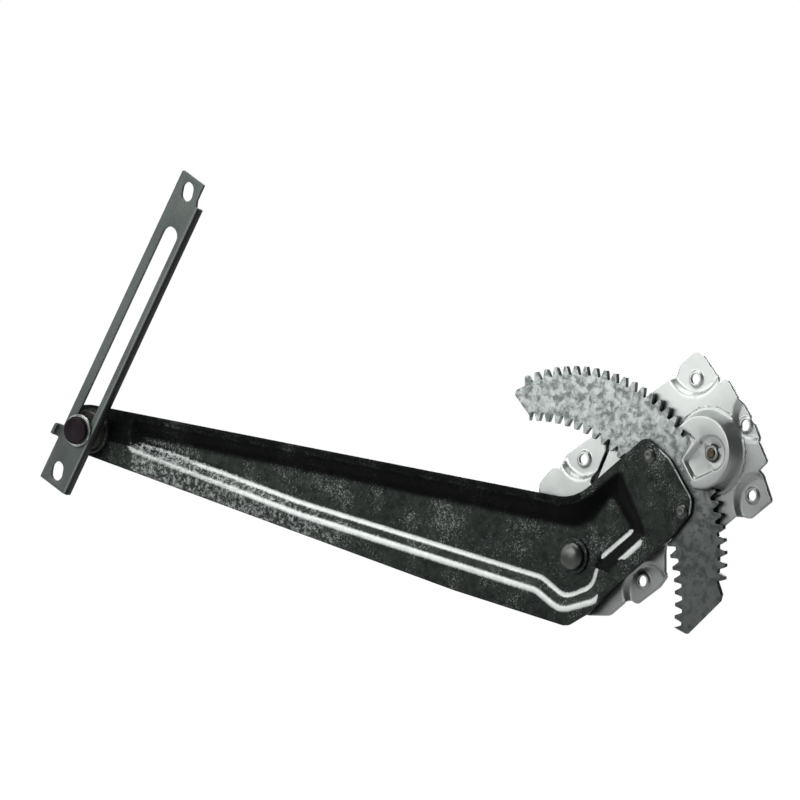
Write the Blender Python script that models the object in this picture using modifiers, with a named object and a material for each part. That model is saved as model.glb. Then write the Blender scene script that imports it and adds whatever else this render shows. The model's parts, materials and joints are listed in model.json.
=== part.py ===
"""Manual window regulator: base plate, toothed lift arm, wind-down drive and slotted glass rail.

The part stands as it is bolted in a door. +X points right and +Z up when it is seen from the
glass side, and -Y points to the glass. Heights are measured from the mounting plane (Y = 0)
towards the glass, so height h lies at Y = -h. The origin is where the lift arm's pivot axis
meets the mounting plane.
"""

import math

import bmesh
import bpy
from mathutils import Vector

MM = 0.001

# Gear pair
MODULE = 2.5 * MM
PRESSURE_ANGLE = math.radians(20)
CIRCLE_TEETH = 94            # teeth that the sector would have as a full circle
TEETH_UP = 21                # sector teeth above the pinion at rest
TEETH_DOWN = 10              # sector teeth below the pinion at rest
PINION_TEETH = 9
PINION_SHIFT = 0.5           # profile shift of the small pinion, in modules
BACKLASH = 0.3 * MM
MESH_ANGLE = math.radians(30)    # direction from the pivot to the pinion

# Heights of the layers
TAB_JOGGLE = 3.0 * MM
PLATE_SHEET = 2.0 * MM
SECTOR_CLEARANCE = 1.0 * MM
SECTOR_SHEET = 3.0 * MM
TOUCH = 0.3 * MM             # gap left between faces that touch
ARM_SHEET = 2.5 * MM
TROUGH_DEPTH = 3.3 * MM
DOME_CLEARANCE = 3.5 * MM    # from the sector's face to the dome's inside
RECESS_DEPTH = 2.0 * MM

PLATE_FACE = TAB_JOGGLE + PLATE_SHEET
SECTOR_BACK = PLATE_FACE + SECTOR_CLEARANCE
SECTOR_FACE = SECTOR_BACK + SECTOR_SHEET
ARM_BACK = SECTOR_FACE + TOUCH
ARM_FACE = ARM_BACK + ARM_SHEET
FLOOR_FACE = ARM_FACE - TROUGH_DEPTH
DOME_UNDER = SECTOR_FACE + DOME_CLEARANCE
DOME_TOP = DOME_UNDER + PLATE_SHEET

# Sector gear
SECTOR_TIP_R = MODULE * (CIRCLE_TEETH / 2 + 1)
SECTOR_ROOT_R = MODULE * (CIRCLE_TEETH / 2 - 1.22)
SECTOR_WIDTH = 44.7 * MM         # step between nested blanks in the strip
NEST_ANGLE = math.radians(40.5)  # direction of that step
SECTOR_UPPER_END = [(-35.5, 88.8), (-47.0, 101.5), (-46.1, 104.8)]    # sheared ends, millimetres
SECTOR_LOWER_END = [(116.7, -23.8), (115.2, -28.0), (89.0, -48.7)]

# Lift arm
ARM_LENGTH = 393.5 * MM
ARM_ANGLE = math.radians(168.4)
ARM_TIP_R = 17.0 * MM
PAD_SETBACK = 13.4 * MM      # from the sector's roots back to the arm's end pad
RIVET_HOLE_R = 2.8 * MM
RIVET_HEAD_R = 4.6 * MM

# Dome and clutch
DOME_R = 26.5 * MM
DOME_DRAFT = 1.6 * MM
DOME_SETBACK = 6.5 * MM      # dome centre to pinion axis, towards the pivot
DOME_SIDESTEP = 4.5 * MM
LIP_GAP = 7.4 * MM           # from the sector's roots back to the dome's sheared lip
LIP_CORNER = 7.2 * MM        # where the straight lip turns back into its notch
LIP_NOTCH = [(7.0 * MM, 17.6 * MM), (14.0 * MM, 28.5 * MM)]    # back from the pinion, and across
WINDOW_OUT = 8.0 * MM        # lanced window, from the lip towards the pivot
WINDOW_IN = 7.0 * MM         # and from the lip under the dome
RECESS_R = 11.0 * MM
SPINDLE_R = 4.0 * MM
SPINDLE_REACH = 28.0 * MM    # behind the mounting plane
SPLINE_R = 6.4 * MM
SPLINE_TEETH = 20
SPLINE_LENGTH = 9.0 * MM
HOUSING_R = 17.5 * MM
HOUSING_DEPTH = 14.0 * MM    # behind the mounting plane
HOUSING_SHEET = 1.5 * MM
FLANGE_R = 29.0 * MM
SPRING_WIRE_R = 0.9 * MM
SPRING_TURNS = 4

# Pivot
PIVOT_R = 6.0 * MM
PIVOT_BUSH_WALL = 1.5 * MM
PIVOT_HEAD_R = 9.0 * MM
RUNNING = 0.3 * MM           # radial clearance of pins in their bores

# Roller and glass rail
RAIL_ANGLE = math.radians(59.2)
RAIL_LENGTH = 227.0 * MM
RAIL_WIDTH = 23.5 * MM
RAIL_SHEET = 2.0 * MM
RAIL_LOWER_END = 41.3 * MM   # roller axis to the rail's lower end at rest
RAIL_LEFT = 12.2 * MM        # slot centre line to the rail's plain edge
SLOT_WIDTH = 12.4 * MM
SLOT_REACH = RAIL_LENGTH - 83.0 * MM     # roller travel along the slot
FLANGE_DEPTH = 5.6 * MM
NOTCH_LENGTH = 15.0 * MM
NOTCH_DEPTH = 4.0 * MM
RAIL_TAB_SPAN = (-12.0 * MM, -4.0 * MM)    # along the rail, from the roller's axis
RAIL_TAB_REACH = 5.0 * MM
RAIL_TAB_LIP = 4.0 * MM
END_HOLE_R = 4.6 * MM
END_HOLE_LENGTH = 12.6 * MM
END_HOLE_INSET = 10.0 * MM
ROLLER_R = SLOT_WIDTH / 2 - RUNNING
STUD_R = 4.0 * MM
SPACER_R = 14.5 * MM
SPACER_HEIGHT = 3.4 * MM
RAIL_STANDOFF = 12.7 * MM    # from the arm's face to the rail's back
CAP_R = 8.8 * MM
CAP_HEIGHT = 2.6 * MM
RAIL_BACK = ARM_FACE + RAIL_STANDOFF
RAIL_FACE = RAIL_BACK + RAIL_SHEET

# Bolt holes: x, z, offset of the joggled zone's centre, and its radius, all in millimetres
BOLT_HOLE_R = 3.5 * MM
COLLAR_WALL = 1.4 * MM
COLLAR_HEIGHT = 1.6 * MM
TABS = {
    "left": (3.4, 61.2, 0.0, 6.0, 17.0),
    "top": (92.3, 111.8, 0.0, 11.0, 20.0),
    "upper_right": (131.7, 82.8, 7.5, 5.5, 14.0),
    "lower_right": (137.0, 38.5, 6.0, -4.5, 17.0),
    "bottom": (50.2, -15.6, 4.0, -6.0, 16.0),
}

# Corners of the base plate's blank: x, z and corner radius in millimetres
PLATE_CORNERS = [
    (76.5, 112.6, 3.0), (79.6, 120.4, 3.0), (92.5, 129.0, 4.0), (98.0, 126.5, 4.0),
    (112.6, 109.2, 1.5), (119.0, 112.0, 3.0), (137.4, 84.3, 25.0), (150.2, 59.6, 2.5),
    (143.5, 54.2, 1.5), (151.6, 34.8, 2.5), (134.4, 23.6, 4.0), (126.0, 26.0, 5.0),
    (112.0, 16.5, 8.0), (69.4, 13.0, 12.0), (69.4, -12.0, 6.0), (62.5, -19.5, 6.0),
    (44.8, -30.2, 2.5), (39.6, -27.4, 2.0), (25.0, -37.6, 8.0), (8.0, -37.5, 14.0),
    (-30.0, -22.0, 20.0), (-33.5, 22.0, 20.0), (-30.0, 46.5, 5.0), (-19.8, 55.5, 4.0),
    (-13.6, 55.2, 2.0), (-11.4, 63.6, 2.5),
]

# Corners of the lift arm's lower bulge and of its trough, in millimetres from the pivot
ARM_ELBOW = (2.5, 35.7, 40.0)
ARM_HEEL = [(30.0, -21.5, 30.0), (14.0, -35.5, 12.0), (-4.5, -44.3, 9.0), (-95.0, -21.6, 80.0)]
TROUGH_RIM = [
    (3.5, 31.5, 44.0), (39.0, 55.0, 5.0), (60.5, 12.5, 5.0), (30.5, -9.0, 8.0),
    (20.5, -28.0, 13.0), (-9.0, -34.5, 18.0), (-28.0, -21.8, 14.0), (-217.6, 25.6, 60.0),
]
TROUGH_FLOOR = [
    (9.0, 18.5, 30.0), (30.0, 41.0, 6.0), (48.5, 17.5, 5.0), (20.5, -1.5, 7.0),
    (14.5, -19.0, 12.0), (-7.0, -26.0, 15.0), (-25.5, -13.4, 12.0), (-220.0, 33.6, 60.0),
]
ROUND_STEPS = 32


# Geometry in the plate's plane ---------------------------------------------------------------

def mesh_point(along, across=0.0):
    """Point at a distance along the pivot-to-pinion line and a distance to its left."""
    c, s = math.cos(MESH_ANGLE), math.sin(MESH_ANGLE)
    return Vector((along * c - across * s, along * s + across * c))


def involute(angle):
    return math.tan(angle) - angle


def working_angle():
    """Pressure angle at which the shifted pinion meets the sector."""
    shift = 2 * PINION_SHIFT * math.tan(PRESSURE_ANGLE) / (CIRCLE_TEETH + PINION_TEETH)
    target = involute(PRESSURE_ANGLE) + shift
    angle = PRESSURE_ANGLE
    for _ in range(12):
        angle -= (involute(angle) - target) / math.tan(angle) ** 2
    return angle


CENTRE_DISTANCE = (
    MODULE * (CIRCLE_TEETH + PINION_TEETH) / 2 * math.cos(PRESSURE_ANGLE) / math.cos(working_angle())
)
PIVOT = Vector((0.0, 0.0))
PINION = mesh_point(CENTRE_DISTANCE)
DOME = mesh_point(CENTRE_DISTANCE - DOME_SETBACK, DOME_SIDESTEP)
TIP = Vector((ARM_LENGTH * math.cos(ARM_ANGLE), ARM_LENGTH * math.sin(ARM_ANGLE)))
PAD = SECTOR_ROOT_R - PAD_SETBACK
RIVETS = {
    "upper": mesh_point(PAD - 15.1 * MM, 23.5 * MM),
    "lower": mesh_point(PAD - 10.5 * MM, -19.8 * MM),
}


def half_tooth(radius, teeth, shift=0.0):
    """Half the angle that a tooth covers at a radius, for an involute gear with some backlash."""
    base = MODULE * teeth / 2 * math.cos(PRESSURE_ANGLE)
    at_radius = math.acos(min(1.0, base / radius)) if radius > base else 0.0
    whole = math.pi / 2 + 2 * shift * math.tan(PRESSURE_ANGLE)
    angle = whole / teeth + involute(PRESSURE_ANGLE) - involute(at_radius)
    return angle - BACKLASH / 4 / radius


def tooth(centre, angle, radii, teeth, shift=0.0):
    """Points of one tooth, root to tip and back, running clockwise."""
    half = [half_tooth(r, teeth, shift) for r in radii]
    left = [(r, angle + h) for r, h in zip(radii, half)]
    right = [(r, angle - h) for r, h in zip(radii, half)]
    return [centre + Vector((r * math.cos(a), r * math.sin(a))) for r, a in left + right[::-1]]


def circle(centre, radius, steps=ROUND_STEPS):
    turn = math.tau / steps
    return [
        Vector((centre[0] + radius * math.cos(i * turn), centre[1] + radius * math.sin(i * turn)))
        for i in range(steps)
    ]


def rounded(corners, steps=5):
    """Closed outline with each corner (x, z, radius), in metres, turned into an arc."""
    points = []
    for i, (x, z, radius) in enumerate(corners):
        here = Vector((x, z))
        before = Vector(corners[i - 1][:2]) - here
        after = Vector(corners[(i + 1) % len(corners)][:2]) - here
        half = before.angle(after) / 2
        reach = min(radius / math.tan(half), 0.48 * before.length, 0.48 * after.length)
        start = here + before.normalized() * reach
        end = here + after.normalized() * reach
        for k in range(steps + 1):
            t = k / steps
            points.append((1 - t) ** 2 * start + 2 * t * (1 - t) * here + t * t * end)
    return points


def millimetres(corners):
    return [tuple(value * MM for value in corner) for corner in corners]


def stadium(centre, direction, length, radius, steps=8):
    """Slot outline with round ends, length being from end to end."""
    along = Vector(direction).normalized()
    across = Vector((-along.y, along.x))
    reach = length / 2 - radius
    points = []
    for side in (1, -1):
        for k in range(steps + 1):
            a = -math.pi / 2 + math.pi * k / steps
            offset = along * (reach + radius * math.cos(a)) + across * radius * math.sin(a)
            points.append(Vector(centre) + side * offset)
    return points


def rail_point(along, across):
    """Point in the rail's own directions, from the roller's axis; across points to the flange."""
    c, s = math.cos(RAIL_ANGLE), math.sin(RAIL_ANGLE)
    return TIP + Vector((along * c + across * s, along * s - across * c))


# Blender helpers -------------------------------------------------------------------------------

def clear_scene():
    for item in list(bpy.data.objects):
        bpy.data.objects.remove(item)


def new_collection(name):
    group = bpy.data.collections.new(name)
    bpy.context.scene.collection.children.link(group)
    return group


def new_material(name, colour, roughness, metallic=1.0):
    material = bpy.data.materials.new(name)
    material.use_nodes = True
    shader = material.node_tree.nodes["Principled BSDF"]
    shader.inputs["Base Color"].default_value = (*colour, 1.0)
    shader.inputs["Roughness"].default_value = roughness
    shader.inputs["Metallic"].default_value = metallic
    return material


def to_world(point, height=0.0):
    return Vector((point[0], -height, point[1]))


def turn_to_glass(obj, point=(0.0, 0.0), height=0.0):
    """Stands an object modelled along +Z on the door's plane, its +Z towards the glass."""
    obj.rotation_euler = (math.pi / 2, 0.0, 0.0)
    obj.location = to_world(point, height)
    return obj


def flat_solid(name, outlines, low, high):
    """Extruded outline: the first loop is the outside and the others are holes."""
    curve = bpy.data.curves.new(name, "CURVE")
    curve.dimensions = "2D"
    curve.fill_mode = "BOTH"
    curve.extrude = (high - low) / 2
    for outline in outlines:
        spline = curve.splines.new("POLY")
        spline.points.add(len(outline) - 1)
        for point, place in zip(spline.points, outline):
            point.co = (place[0], place[1], 0.0, 1.0)
        spline.use_cyclic_u = True
    obj = bpy.data.objects.new(name, curve)
    PARTS.objects.link(obj)
    turn_to_glass(obj, height=(low + high) / 2)
    return curve_to_mesh(obj)


def curve_to_mesh(obj):
    """Replaces a curve by its mesh, with the loose caps welded."""
    name = obj.name
    bpy.context.view_layer.update()
    evaluated = obj.evaluated_get(bpy.context.evaluated_depsgraph_get())
    mesh = bpy.data.meshes.new_from_object(evaluated)
    world = obj.matrix_world.copy()
    bpy.data.objects.remove(obj)
    bm = bmesh.new()
    bm.from_mesh(mesh)
    bmesh.ops.remove_doubles(bm, verts=bm.verts, dist=0.00001)
    bmesh.ops.recalc_face_normals(bm, faces=bm.faces)
    bm.to_mesh(mesh)
    bm.free()
    solid = bpy.data.objects.new(name, mesh)
    PARTS.objects.link(solid)
    solid.matrix_world = world
    return solid


def turned(name, profile, point, steps=ROUND_STEPS, closed=False):
    """Profile of (radius, height) points, outer side running down, turned round an axis."""
    mesh = bpy.data.meshes.new(name)
    bm = bmesh.new()
    verts = [bm.verts.new((radius, 0.0, height)) for radius, height in profile]
    pairs = list(zip(verts, verts[1:]))
    if closed:
        pairs.append((verts[-1], verts[0]))
    for pair in pairs:
        bm.edges.new(pair)
    bm.to_mesh(mesh)
    bm.free()
    obj = bpy.data.objects.new(name, mesh)
    PARTS.objects.link(obj)
    screw = obj.modifiers.new("Turn", "SCREW")
    screw.steps = screw.render_steps = steps
    screw.use_merge_vertices = True
    screw.merge_threshold = 0.00001
    return turn_to_glass(obj, point)


def disc(name, radius, low, high, point, steps=ROUND_STEPS):
    return turned(name, [(0.0, high), (radius, high), (radius, low), (0.0, low)], point, steps)


def ring(name, outer, inner, low, high, point, steps=ROUND_STEPS):
    profile = [(outer, high), (outer, low), (inner, low), (inner, high)]
    return turned(name, profile, point, steps, closed=True)


def combine(obj, other, operation):
    """Boolean with a helper solid, which goes to the cutters' collection."""
    modifier = obj.modifiers.new(other.name, "BOOLEAN")
    modifier.operation = operation
    modifier.solver = "EXACT"
    modifier.object = other
    PARTS.objects.unlink(other)
    CUTTERS.objects.link(other)
    other.hide_render = True
    other.display_type = "WIRE"


def cut(obj, other):
    combine(obj, other, "DIFFERENCE")


def join(obj, other):
    combine(obj, other, "UNION")


def finish(obj, material, edge_angle=30):
    obj.data.materials.clear()
    obj.data.materials.append(material)
    obj.data.shade_smooth()
    obj.data.set_sharp_from_angle(angle=math.radians(edge_angle))
    return obj


# Root body: base plate, pivot and clutch housing -----------------------------------------------

def tab_place(tab):
    """Bolt hole centre, joggled zone centre and zone radius of a tab, in metres."""
    x, z, dx, dz, radius = (value * MM for value in TABS[tab])
    return Vector((x, z)), Vector((x + dx, z + dz)), radius


def make_dome():
    """Outside of the drawn dome, open where the sector's teeth pass, with its sunk recess."""
    top_r = DOME_R - DOME_DRAFT
    profile = [
        (0.0, DOME_TOP), (top_r, DOME_TOP), (DOME_R, PLATE_FACE), (DOME_R, TAB_JOGGLE), (0.0, TAB_JOGGLE),
    ]
    dome = turned("dome", profile, DOME)
    mouth_r = SECTOR_TIP_R + 2 * MM
    cut(dome, disc("dome_mouth", mouth_r, TAB_JOGGLE - MM, DOME_UNDER, PIVOT, 160))
    lip = SECTOR_ROOT_R - LIP_GAP
    reach = 2 * DOME_R
    corners = [(lip - reach, -reach), (lip, -reach), (lip, LIP_CORNER)]
    corners += [(CENTRE_DISTANCE - back, across) for back, across in LIP_NOTCH]
    beyond = [mesh_point(*corner) for corner in corners + [(lip - reach, reach)]]
    cut(dome, flat_solid("dome_lip", [beyond], TAB_JOGGLE - MM, DOME_TOP + MM))
    cut(dome, flat_solid("recess", [recess_outline(0.0)], DOME_TOP - RECESS_DEPTH, DOME_TOP + MM))
    return dome


def recess_outline(grow):
    """Teardrop round the pinion's axis, with its blunt end towards the sector."""
    radius = RECESS_R + grow
    end = CENTRE_DISTANCE - 19.5 * MM - grow
    low = mesh_point(end + 0.2 * MM, -7.5 * MM - grow)
    high = mesh_point(end - 0.4 * MM, 6.0 * MM + grow)
    arc = []
    for k in range(15):
        a = MESH_ANGLE - math.radians(112) + math.radians(224) * k / 14
        arc.append(PINION + Vector((radius * math.cos(a), radius * math.sin(a))))
    return arc + [high, low]


def make_dome_cavity():
    """Inside of the dome, leaving one sheet's thickness round the recess."""
    top_r = DOME_R - DOME_DRAFT - PLATE_SHEET
    base_r = DOME_R - PLATE_SHEET
    profile = [(0.0, DOME_UNDER), (top_r, DOME_UNDER), (base_r, TAB_JOGGLE), (base_r, -MM), (0.0, -MM)]
    cavity = turned("dome_cavity", profile, DOME)
    sunk = DOME_UNDER - RECESS_DEPTH
    cut(cavity, flat_solid("recess_wall", [recess_outline(PLATE_SHEET)], sunk, DOME_TOP))
    return cavity


def make_base_plate():
    plate = flat_solid("base_plate", [rounded(millimetres(PLATE_CORNERS))], 0.0, PLATE_FACE)
    pocket = [[Vector(corner) for corner in ((-0.2, -0.2), (0.3, -0.2), (0.3, 0.3), (-0.2, 0.3))]]
    for tab in TABS:
        _, zone, radius = tab_place(tab)
        pocket.append(circle(zone, radius + PLATE_SHEET))
        cut(plate, disc(f"{tab}_tab", radius, PLATE_SHEET, PLATE_FACE + MM, zone))
    cut(plate, flat_solid("raised_pocket", pocket, -MM, TAB_JOGGLE))
    join(plate, make_dome())
    cut(plate, make_dome_cavity())
    lip = SECTOR_ROOT_R - LIP_GAP
    side = DOME_R + 2 * MM
    low, high = DOME_SIDESTEP - side, DOME_SIDESTEP + side
    start, end = lip - WINDOW_OUT, lip + WINDOW_IN
    window = [mesh_point(*corner) for corner in ((start, low), (end, low), (end, high), (start, high))]
    cut(plate, flat_solid("lanced_window", [window], TAB_JOGGLE - MM, PLATE_FACE + MM))
    for tab in TABS:
        hole, _, _ = tab_place(tab)
        collar_r = BOLT_HOLE_R + COLLAR_WALL
        join(plate, disc(f"{tab}_collar", collar_r, MM, PLATE_SHEET + COLLAR_HEIGHT, hole, 20))
        cut(plate, disc(f"{tab}_hole", BOLT_HOLE_R, -MM, PLATE_FACE + MM, hole, 20))
    # keeps the tabs' walls clear of the drum whatever its radius
    cut(plate, disc("drum_relief", HOUSING_R + TOUCH, -MM, TAB_JOGGLE - TOUCH, PINION))
    cut(plate, disc("pivot_hole", PIVOT_R + TOUCH, 0.0, PLATE_FACE + MM, PIVOT))
    cut(plate, disc("front_bush_hole", SPINDLE_R + TOUCH, DOME_UNDER - 2 * RECESS_DEPTH, DOME_TOP, PINION))
    return finish(plate, ZINC)


def make_pivot():
    """Stud riveted into the plate, the bush that the arm turns on, and the washer on top."""
    bush_r = PIVOT_R + PIVOT_BUSH_WALL
    shoulder = FLOOR_FACE + 0.5 * MM
    washer_top = shoulder + 1.2 * MM
    head = washer_top + TOUCH
    profile = [
        (0.0, head + 5.0 * MM), (4.0 * MM, head + 4.6 * MM), (6.6 * MM, head + 3.6 * MM),
        (8.3 * MM, head + 2.0 * MM), (PIVOT_HEAD_R, head), (PIVOT_R, head),
        (PIVOT_R, TAB_JOGGLE - TOUCH), (8.0 * MM, TAB_JOGGLE - TOUCH), (8.0 * MM, 0.0), (0.0, 0.0),
    ]
    finish(turned("pivot_stud", profile, PIVOT), STEEL)
    bush = ring("pivot_bush", bush_r, PIVOT_R + TOUCH, PLATE_FACE + TOUCH, shoulder - TOUCH, PIVOT)
    finish(bush, BRONZE)
    washer = ring("pivot_washer", 11.5 * MM, PIVOT_R + TOUCH, shoulder, washer_top, PIVOT)
    finish(washer, STEEL)


def make_clutch_housing():
    """Brake drum spot-welded behind the dome: a drawn cup with a wide flange."""
    flange_face = TAB_JOGGLE - TOUCH
    flange_back = flange_face - PLATE_SHEET
    flange = disc("clutch_housing", FLANGE_R, flange_back, flange_face, PINION + Vector((-7, -3)) * MM)
    for tab in ("upper_right", "lower_right"):
        _, zone, radius = tab_place(tab)
        clear = radius + PLATE_SHEET + TOUCH
        cut(flange, disc(f"{tab}_relief", clear, flange_back - MM, flange_face + MM, zone))
    join(flange, disc("drum", HOUSING_R, -HOUSING_DEPTH, flange_back + MM, PINION))
    inside = HOUSING_R - HOUSING_SHEET
    cut(flange, disc("drum_inside", inside, HOUSING_SHEET - HOUSING_DEPTH, flange_face + MM, PINION))
    bore = SPINDLE_R + 1.5 * MM + 2 * TOUCH
    cut(flange, disc("drum_bore", bore, -HOUSING_DEPTH - MM, flange_face, PINION))
    return finish(flange, ZINC)


# Arm body: lift arm, sector and their rivets, roller stud --------------------------------------

def arm_outline():
    upper = [
        (TIP.x - 16.0 * MM, TIP.y + 18.4 * MM, ARM_TIP_R),
        tuple(value * MM for value in ARM_ELBOW),
    ]
    pad = [
        (*mesh_point(PAD - 12.0 * MM, 35.8 * MM), 7 * MM),
        (*mesh_point(PAD - 2.6 * MM, 14.0 * MM), 20 * MM),
        (*mesh_point(PAD, -16.5 * MM), 8 * MM),
        (*mesh_point(PAD - 6.5 * MM, -24.5 * MM), 8 * MM),
        (*mesh_point(PAD - 25.0 * MM, -29.2 * MM), 20 * MM),
    ]
    lower = [(TIP.x - 16.0 * MM, TIP.y - 12.6 * MM, ARM_TIP_R)]
    return rounded(upper + pad + millimetres(ARM_HEEL) + lower, 6)


def trough_loop(corners, tip_reach, upper, lower):
    """A trough line that ends short of the arm's tip at the given places above and below it."""
    near_tip = [
        (TIP.x + tip_reach, TIP.y + lower, 6 * MM),
        (TIP.x + tip_reach, TIP.y + upper, 6 * MM),
    ]
    return rounded(near_tip + millimetres(corners), 6)


def closed_edges(bm, outline, height):
    verts = [bm.verts.new(to_world(point, height)) for point in outline]
    return [bm.edges.new((a, b)) for a, b in zip(verts, verts[1:] + verts[:1])]


def make_lift_arm():
    """Pressed arm: flat rim and end pad, with a trough drawn back towards the plate."""
    mesh = bpy.data.meshes.new("lift_arm")
    bm = bmesh.new()
    edge = closed_edges(bm, arm_outline(), ARM_FACE)
    rim = closed_edges(bm, trough_loop(TROUGH_RIM, 29.0 * MM, 7.8 * MM, -12.0 * MM), ARM_FACE)
    floor = closed_edges(bm, trough_loop(TROUGH_FLOOR, 38.0 * MM, -2.5 * MM, -8.0 * MM), FLOOR_FACE)
    bmesh.ops.triangle_fill(bm, use_beauty=True, edges=edge + rim)
    bmesh.ops.bridge_loops(bm, edges=rim + floor)
    bmesh.ops.triangle_fill(bm, use_beauty=True, edges=floor)
    bmesh.ops.recalc_face_normals(bm, faces=bm.faces)
    if sum(face.normal.y * face.calc_area() for face in bm.faces) > 0:
        bmesh.ops.reverse_faces(bm, faces=bm.faces)
    bm.to_mesh(mesh)
    bm.free()
    arm = bpy.data.objects.new("lift_arm", mesh)
    PARTS.objects.link(arm)
    sheet = arm.modifiers.new("Sheet", "SOLIDIFY")
    sheet.thickness = ARM_SHEET
    sheet.offset = -1.0
    sheet.use_even_offset = True
    bush_hole = PIVOT_R + PIVOT_BUSH_WALL + RUNNING
    cut(arm, disc("arm_pivot_hole", bush_hole, PLATE_FACE, ARM_FACE + MM, PIVOT))
    for side, place in RIVETS.items():
        cut(arm, disc(f"arm_{side}_hole", RIVET_HOLE_R, PLATE_FACE, ARM_FACE + MM, place, 16))
    cut(arm, disc("arm_stud_hole", STUD_R + TOUCH, PLATE_FACE, ARM_FACE + MM, TIP, 24))
    return finish(arm, DARK_GALVANISED)


def sector_outline():
    """Outer teeth one way, then the next blank's teeth, one nesting step inside, back again."""
    pitch = math.tau / CIRCLE_TEETH
    radii = [SECTOR_ROOT_R, MODULE * CIRCLE_TEETH / 2, SECTOR_TIP_R]
    first = MESH_ANGLE + (TEETH_UP - 0.5) * pitch
    angles = [first - k * pitch for k in range(TEETH_UP + TEETH_DOWN)]
    outer = [p for a in angles for p in tooth(PIVOT, a, radii, CIRCLE_TEETH)]
    nested = -SECTOR_WIDTH * Vector((math.cos(NEST_ANGLE), math.sin(NEST_ANGLE)))
    inner_angles = angles[5:]
    inner = [p for a in inner_angles for p in tooth(nested, a, radii, CIRCLE_TEETH)]
    upper_end = [Vector(corner) for corner in millimetres(SECTOR_UPPER_END)]
    lower_end = [Vector(corner) for corner in millimetres(SECTOR_LOWER_END)]
    return upper_end + outer + lower_end + inner[::-1]


def make_sector():
    holes = [circle(place, RIVET_HOLE_R, 16) for place in RIVETS.values()]
    sector = flat_solid("sector_gear", [sector_outline()] + holes, SECTOR_BACK, SECTOR_FACE)
    finish(sector, GALVANISED)
    shank = RIVET_HOLE_R - TOUCH
    for side, place in RIVETS.items():
        top = ARM_FACE + TOUCH
        profile = [
            (0.0, top + 1.9 * MM), (2.6 * MM, top + 1.6 * MM), (RIVET_HEAD_R, top), (shank, top),
            (shank, SECTOR_BACK + 0.1 * MM), (0.0, SECTOR_BACK + 0.1 * MM),
        ]
        finish(turned(f"sector_rivet_{side}", profile, place, 20), STEEL)


def make_roller_stud():
    """Stud riveted into the arm's tip, its spacer collar and its end cap."""
    tail = ARM_BACK - TOUCH
    cap_back = RAIL_FACE + 2.2 * MM
    end = cap_back + 0.9 * MM
    foot_r, foot = STUD_R + 2.5 * MM, tail - 1.6 * MM
    profile = [(0.0, end), (STUD_R, end), (STUD_R, tail), (foot_r, tail), (foot_r, foot), (0.0, foot)]
    finish(turned("roller_stud", profile, TIP, 24), STEEL)
    base = ARM_FACE + TOUCH
    collar = [
        (SPACER_R - 1.0 * MM, base + SPACER_HEIGHT), (SPACER_R, base + SPACER_HEIGHT - 1.0 * MM),
        (SPACER_R, base), (STUD_R + TOUCH, base), (STUD_R + TOUCH, base + SPACER_HEIGHT),
    ]
    finish(turned("roller_spacer", collar, TIP, closed=True), DARK_GALVANISED)
    inner = STUD_R + TOUCH
    top = cap_back + CAP_HEIGHT
    cap = [
        (0.0, top), (CAP_R - 0.8 * MM, top), (CAP_R, top - 0.8 * MM), (CAP_R, cap_back),
        (inner, cap_back), (inner, end + TOUCH), (0.0, end + TOUCH),
    ]
    finish(turned("roller_cap", cap, TIP), CAP_PLASTIC)


# Roller and rail bodies ------------------------------------------------------------------------

def make_roller():
    """Shouldered guide roller in the rail's slot, and the retaining washer in front of it."""
    bore = STUD_R + RUNNING
    base = ARM_FACE + 2 * TOUCH + SPACER_HEIGHT
    shoulder = RAIL_BACK - TOUCH
    step = RAIL_FACE - FLANGE_DEPTH - 0.6 * MM
    profile = [
        (ROLLER_R, RAIL_FACE + TOUCH), (ROLLER_R, shoulder), (8.6 * MM, shoulder), (8.6 * MM, step),
        (12.4 * MM, step), (12.4 * MM, base), (bore, base), (bore, RAIL_FACE + TOUCH),
    ]
    finish(turned("guide_roller", profile, TIP, closed=True), ROLLER_PLASTIC)
    low = RAIL_FACE + 2 * TOUCH
    washer = ring("roller_washer", 10.4 * MM, bore, low, low + 1.3 * MM, TIP)
    finish(washer, GALVANISED)


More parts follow.
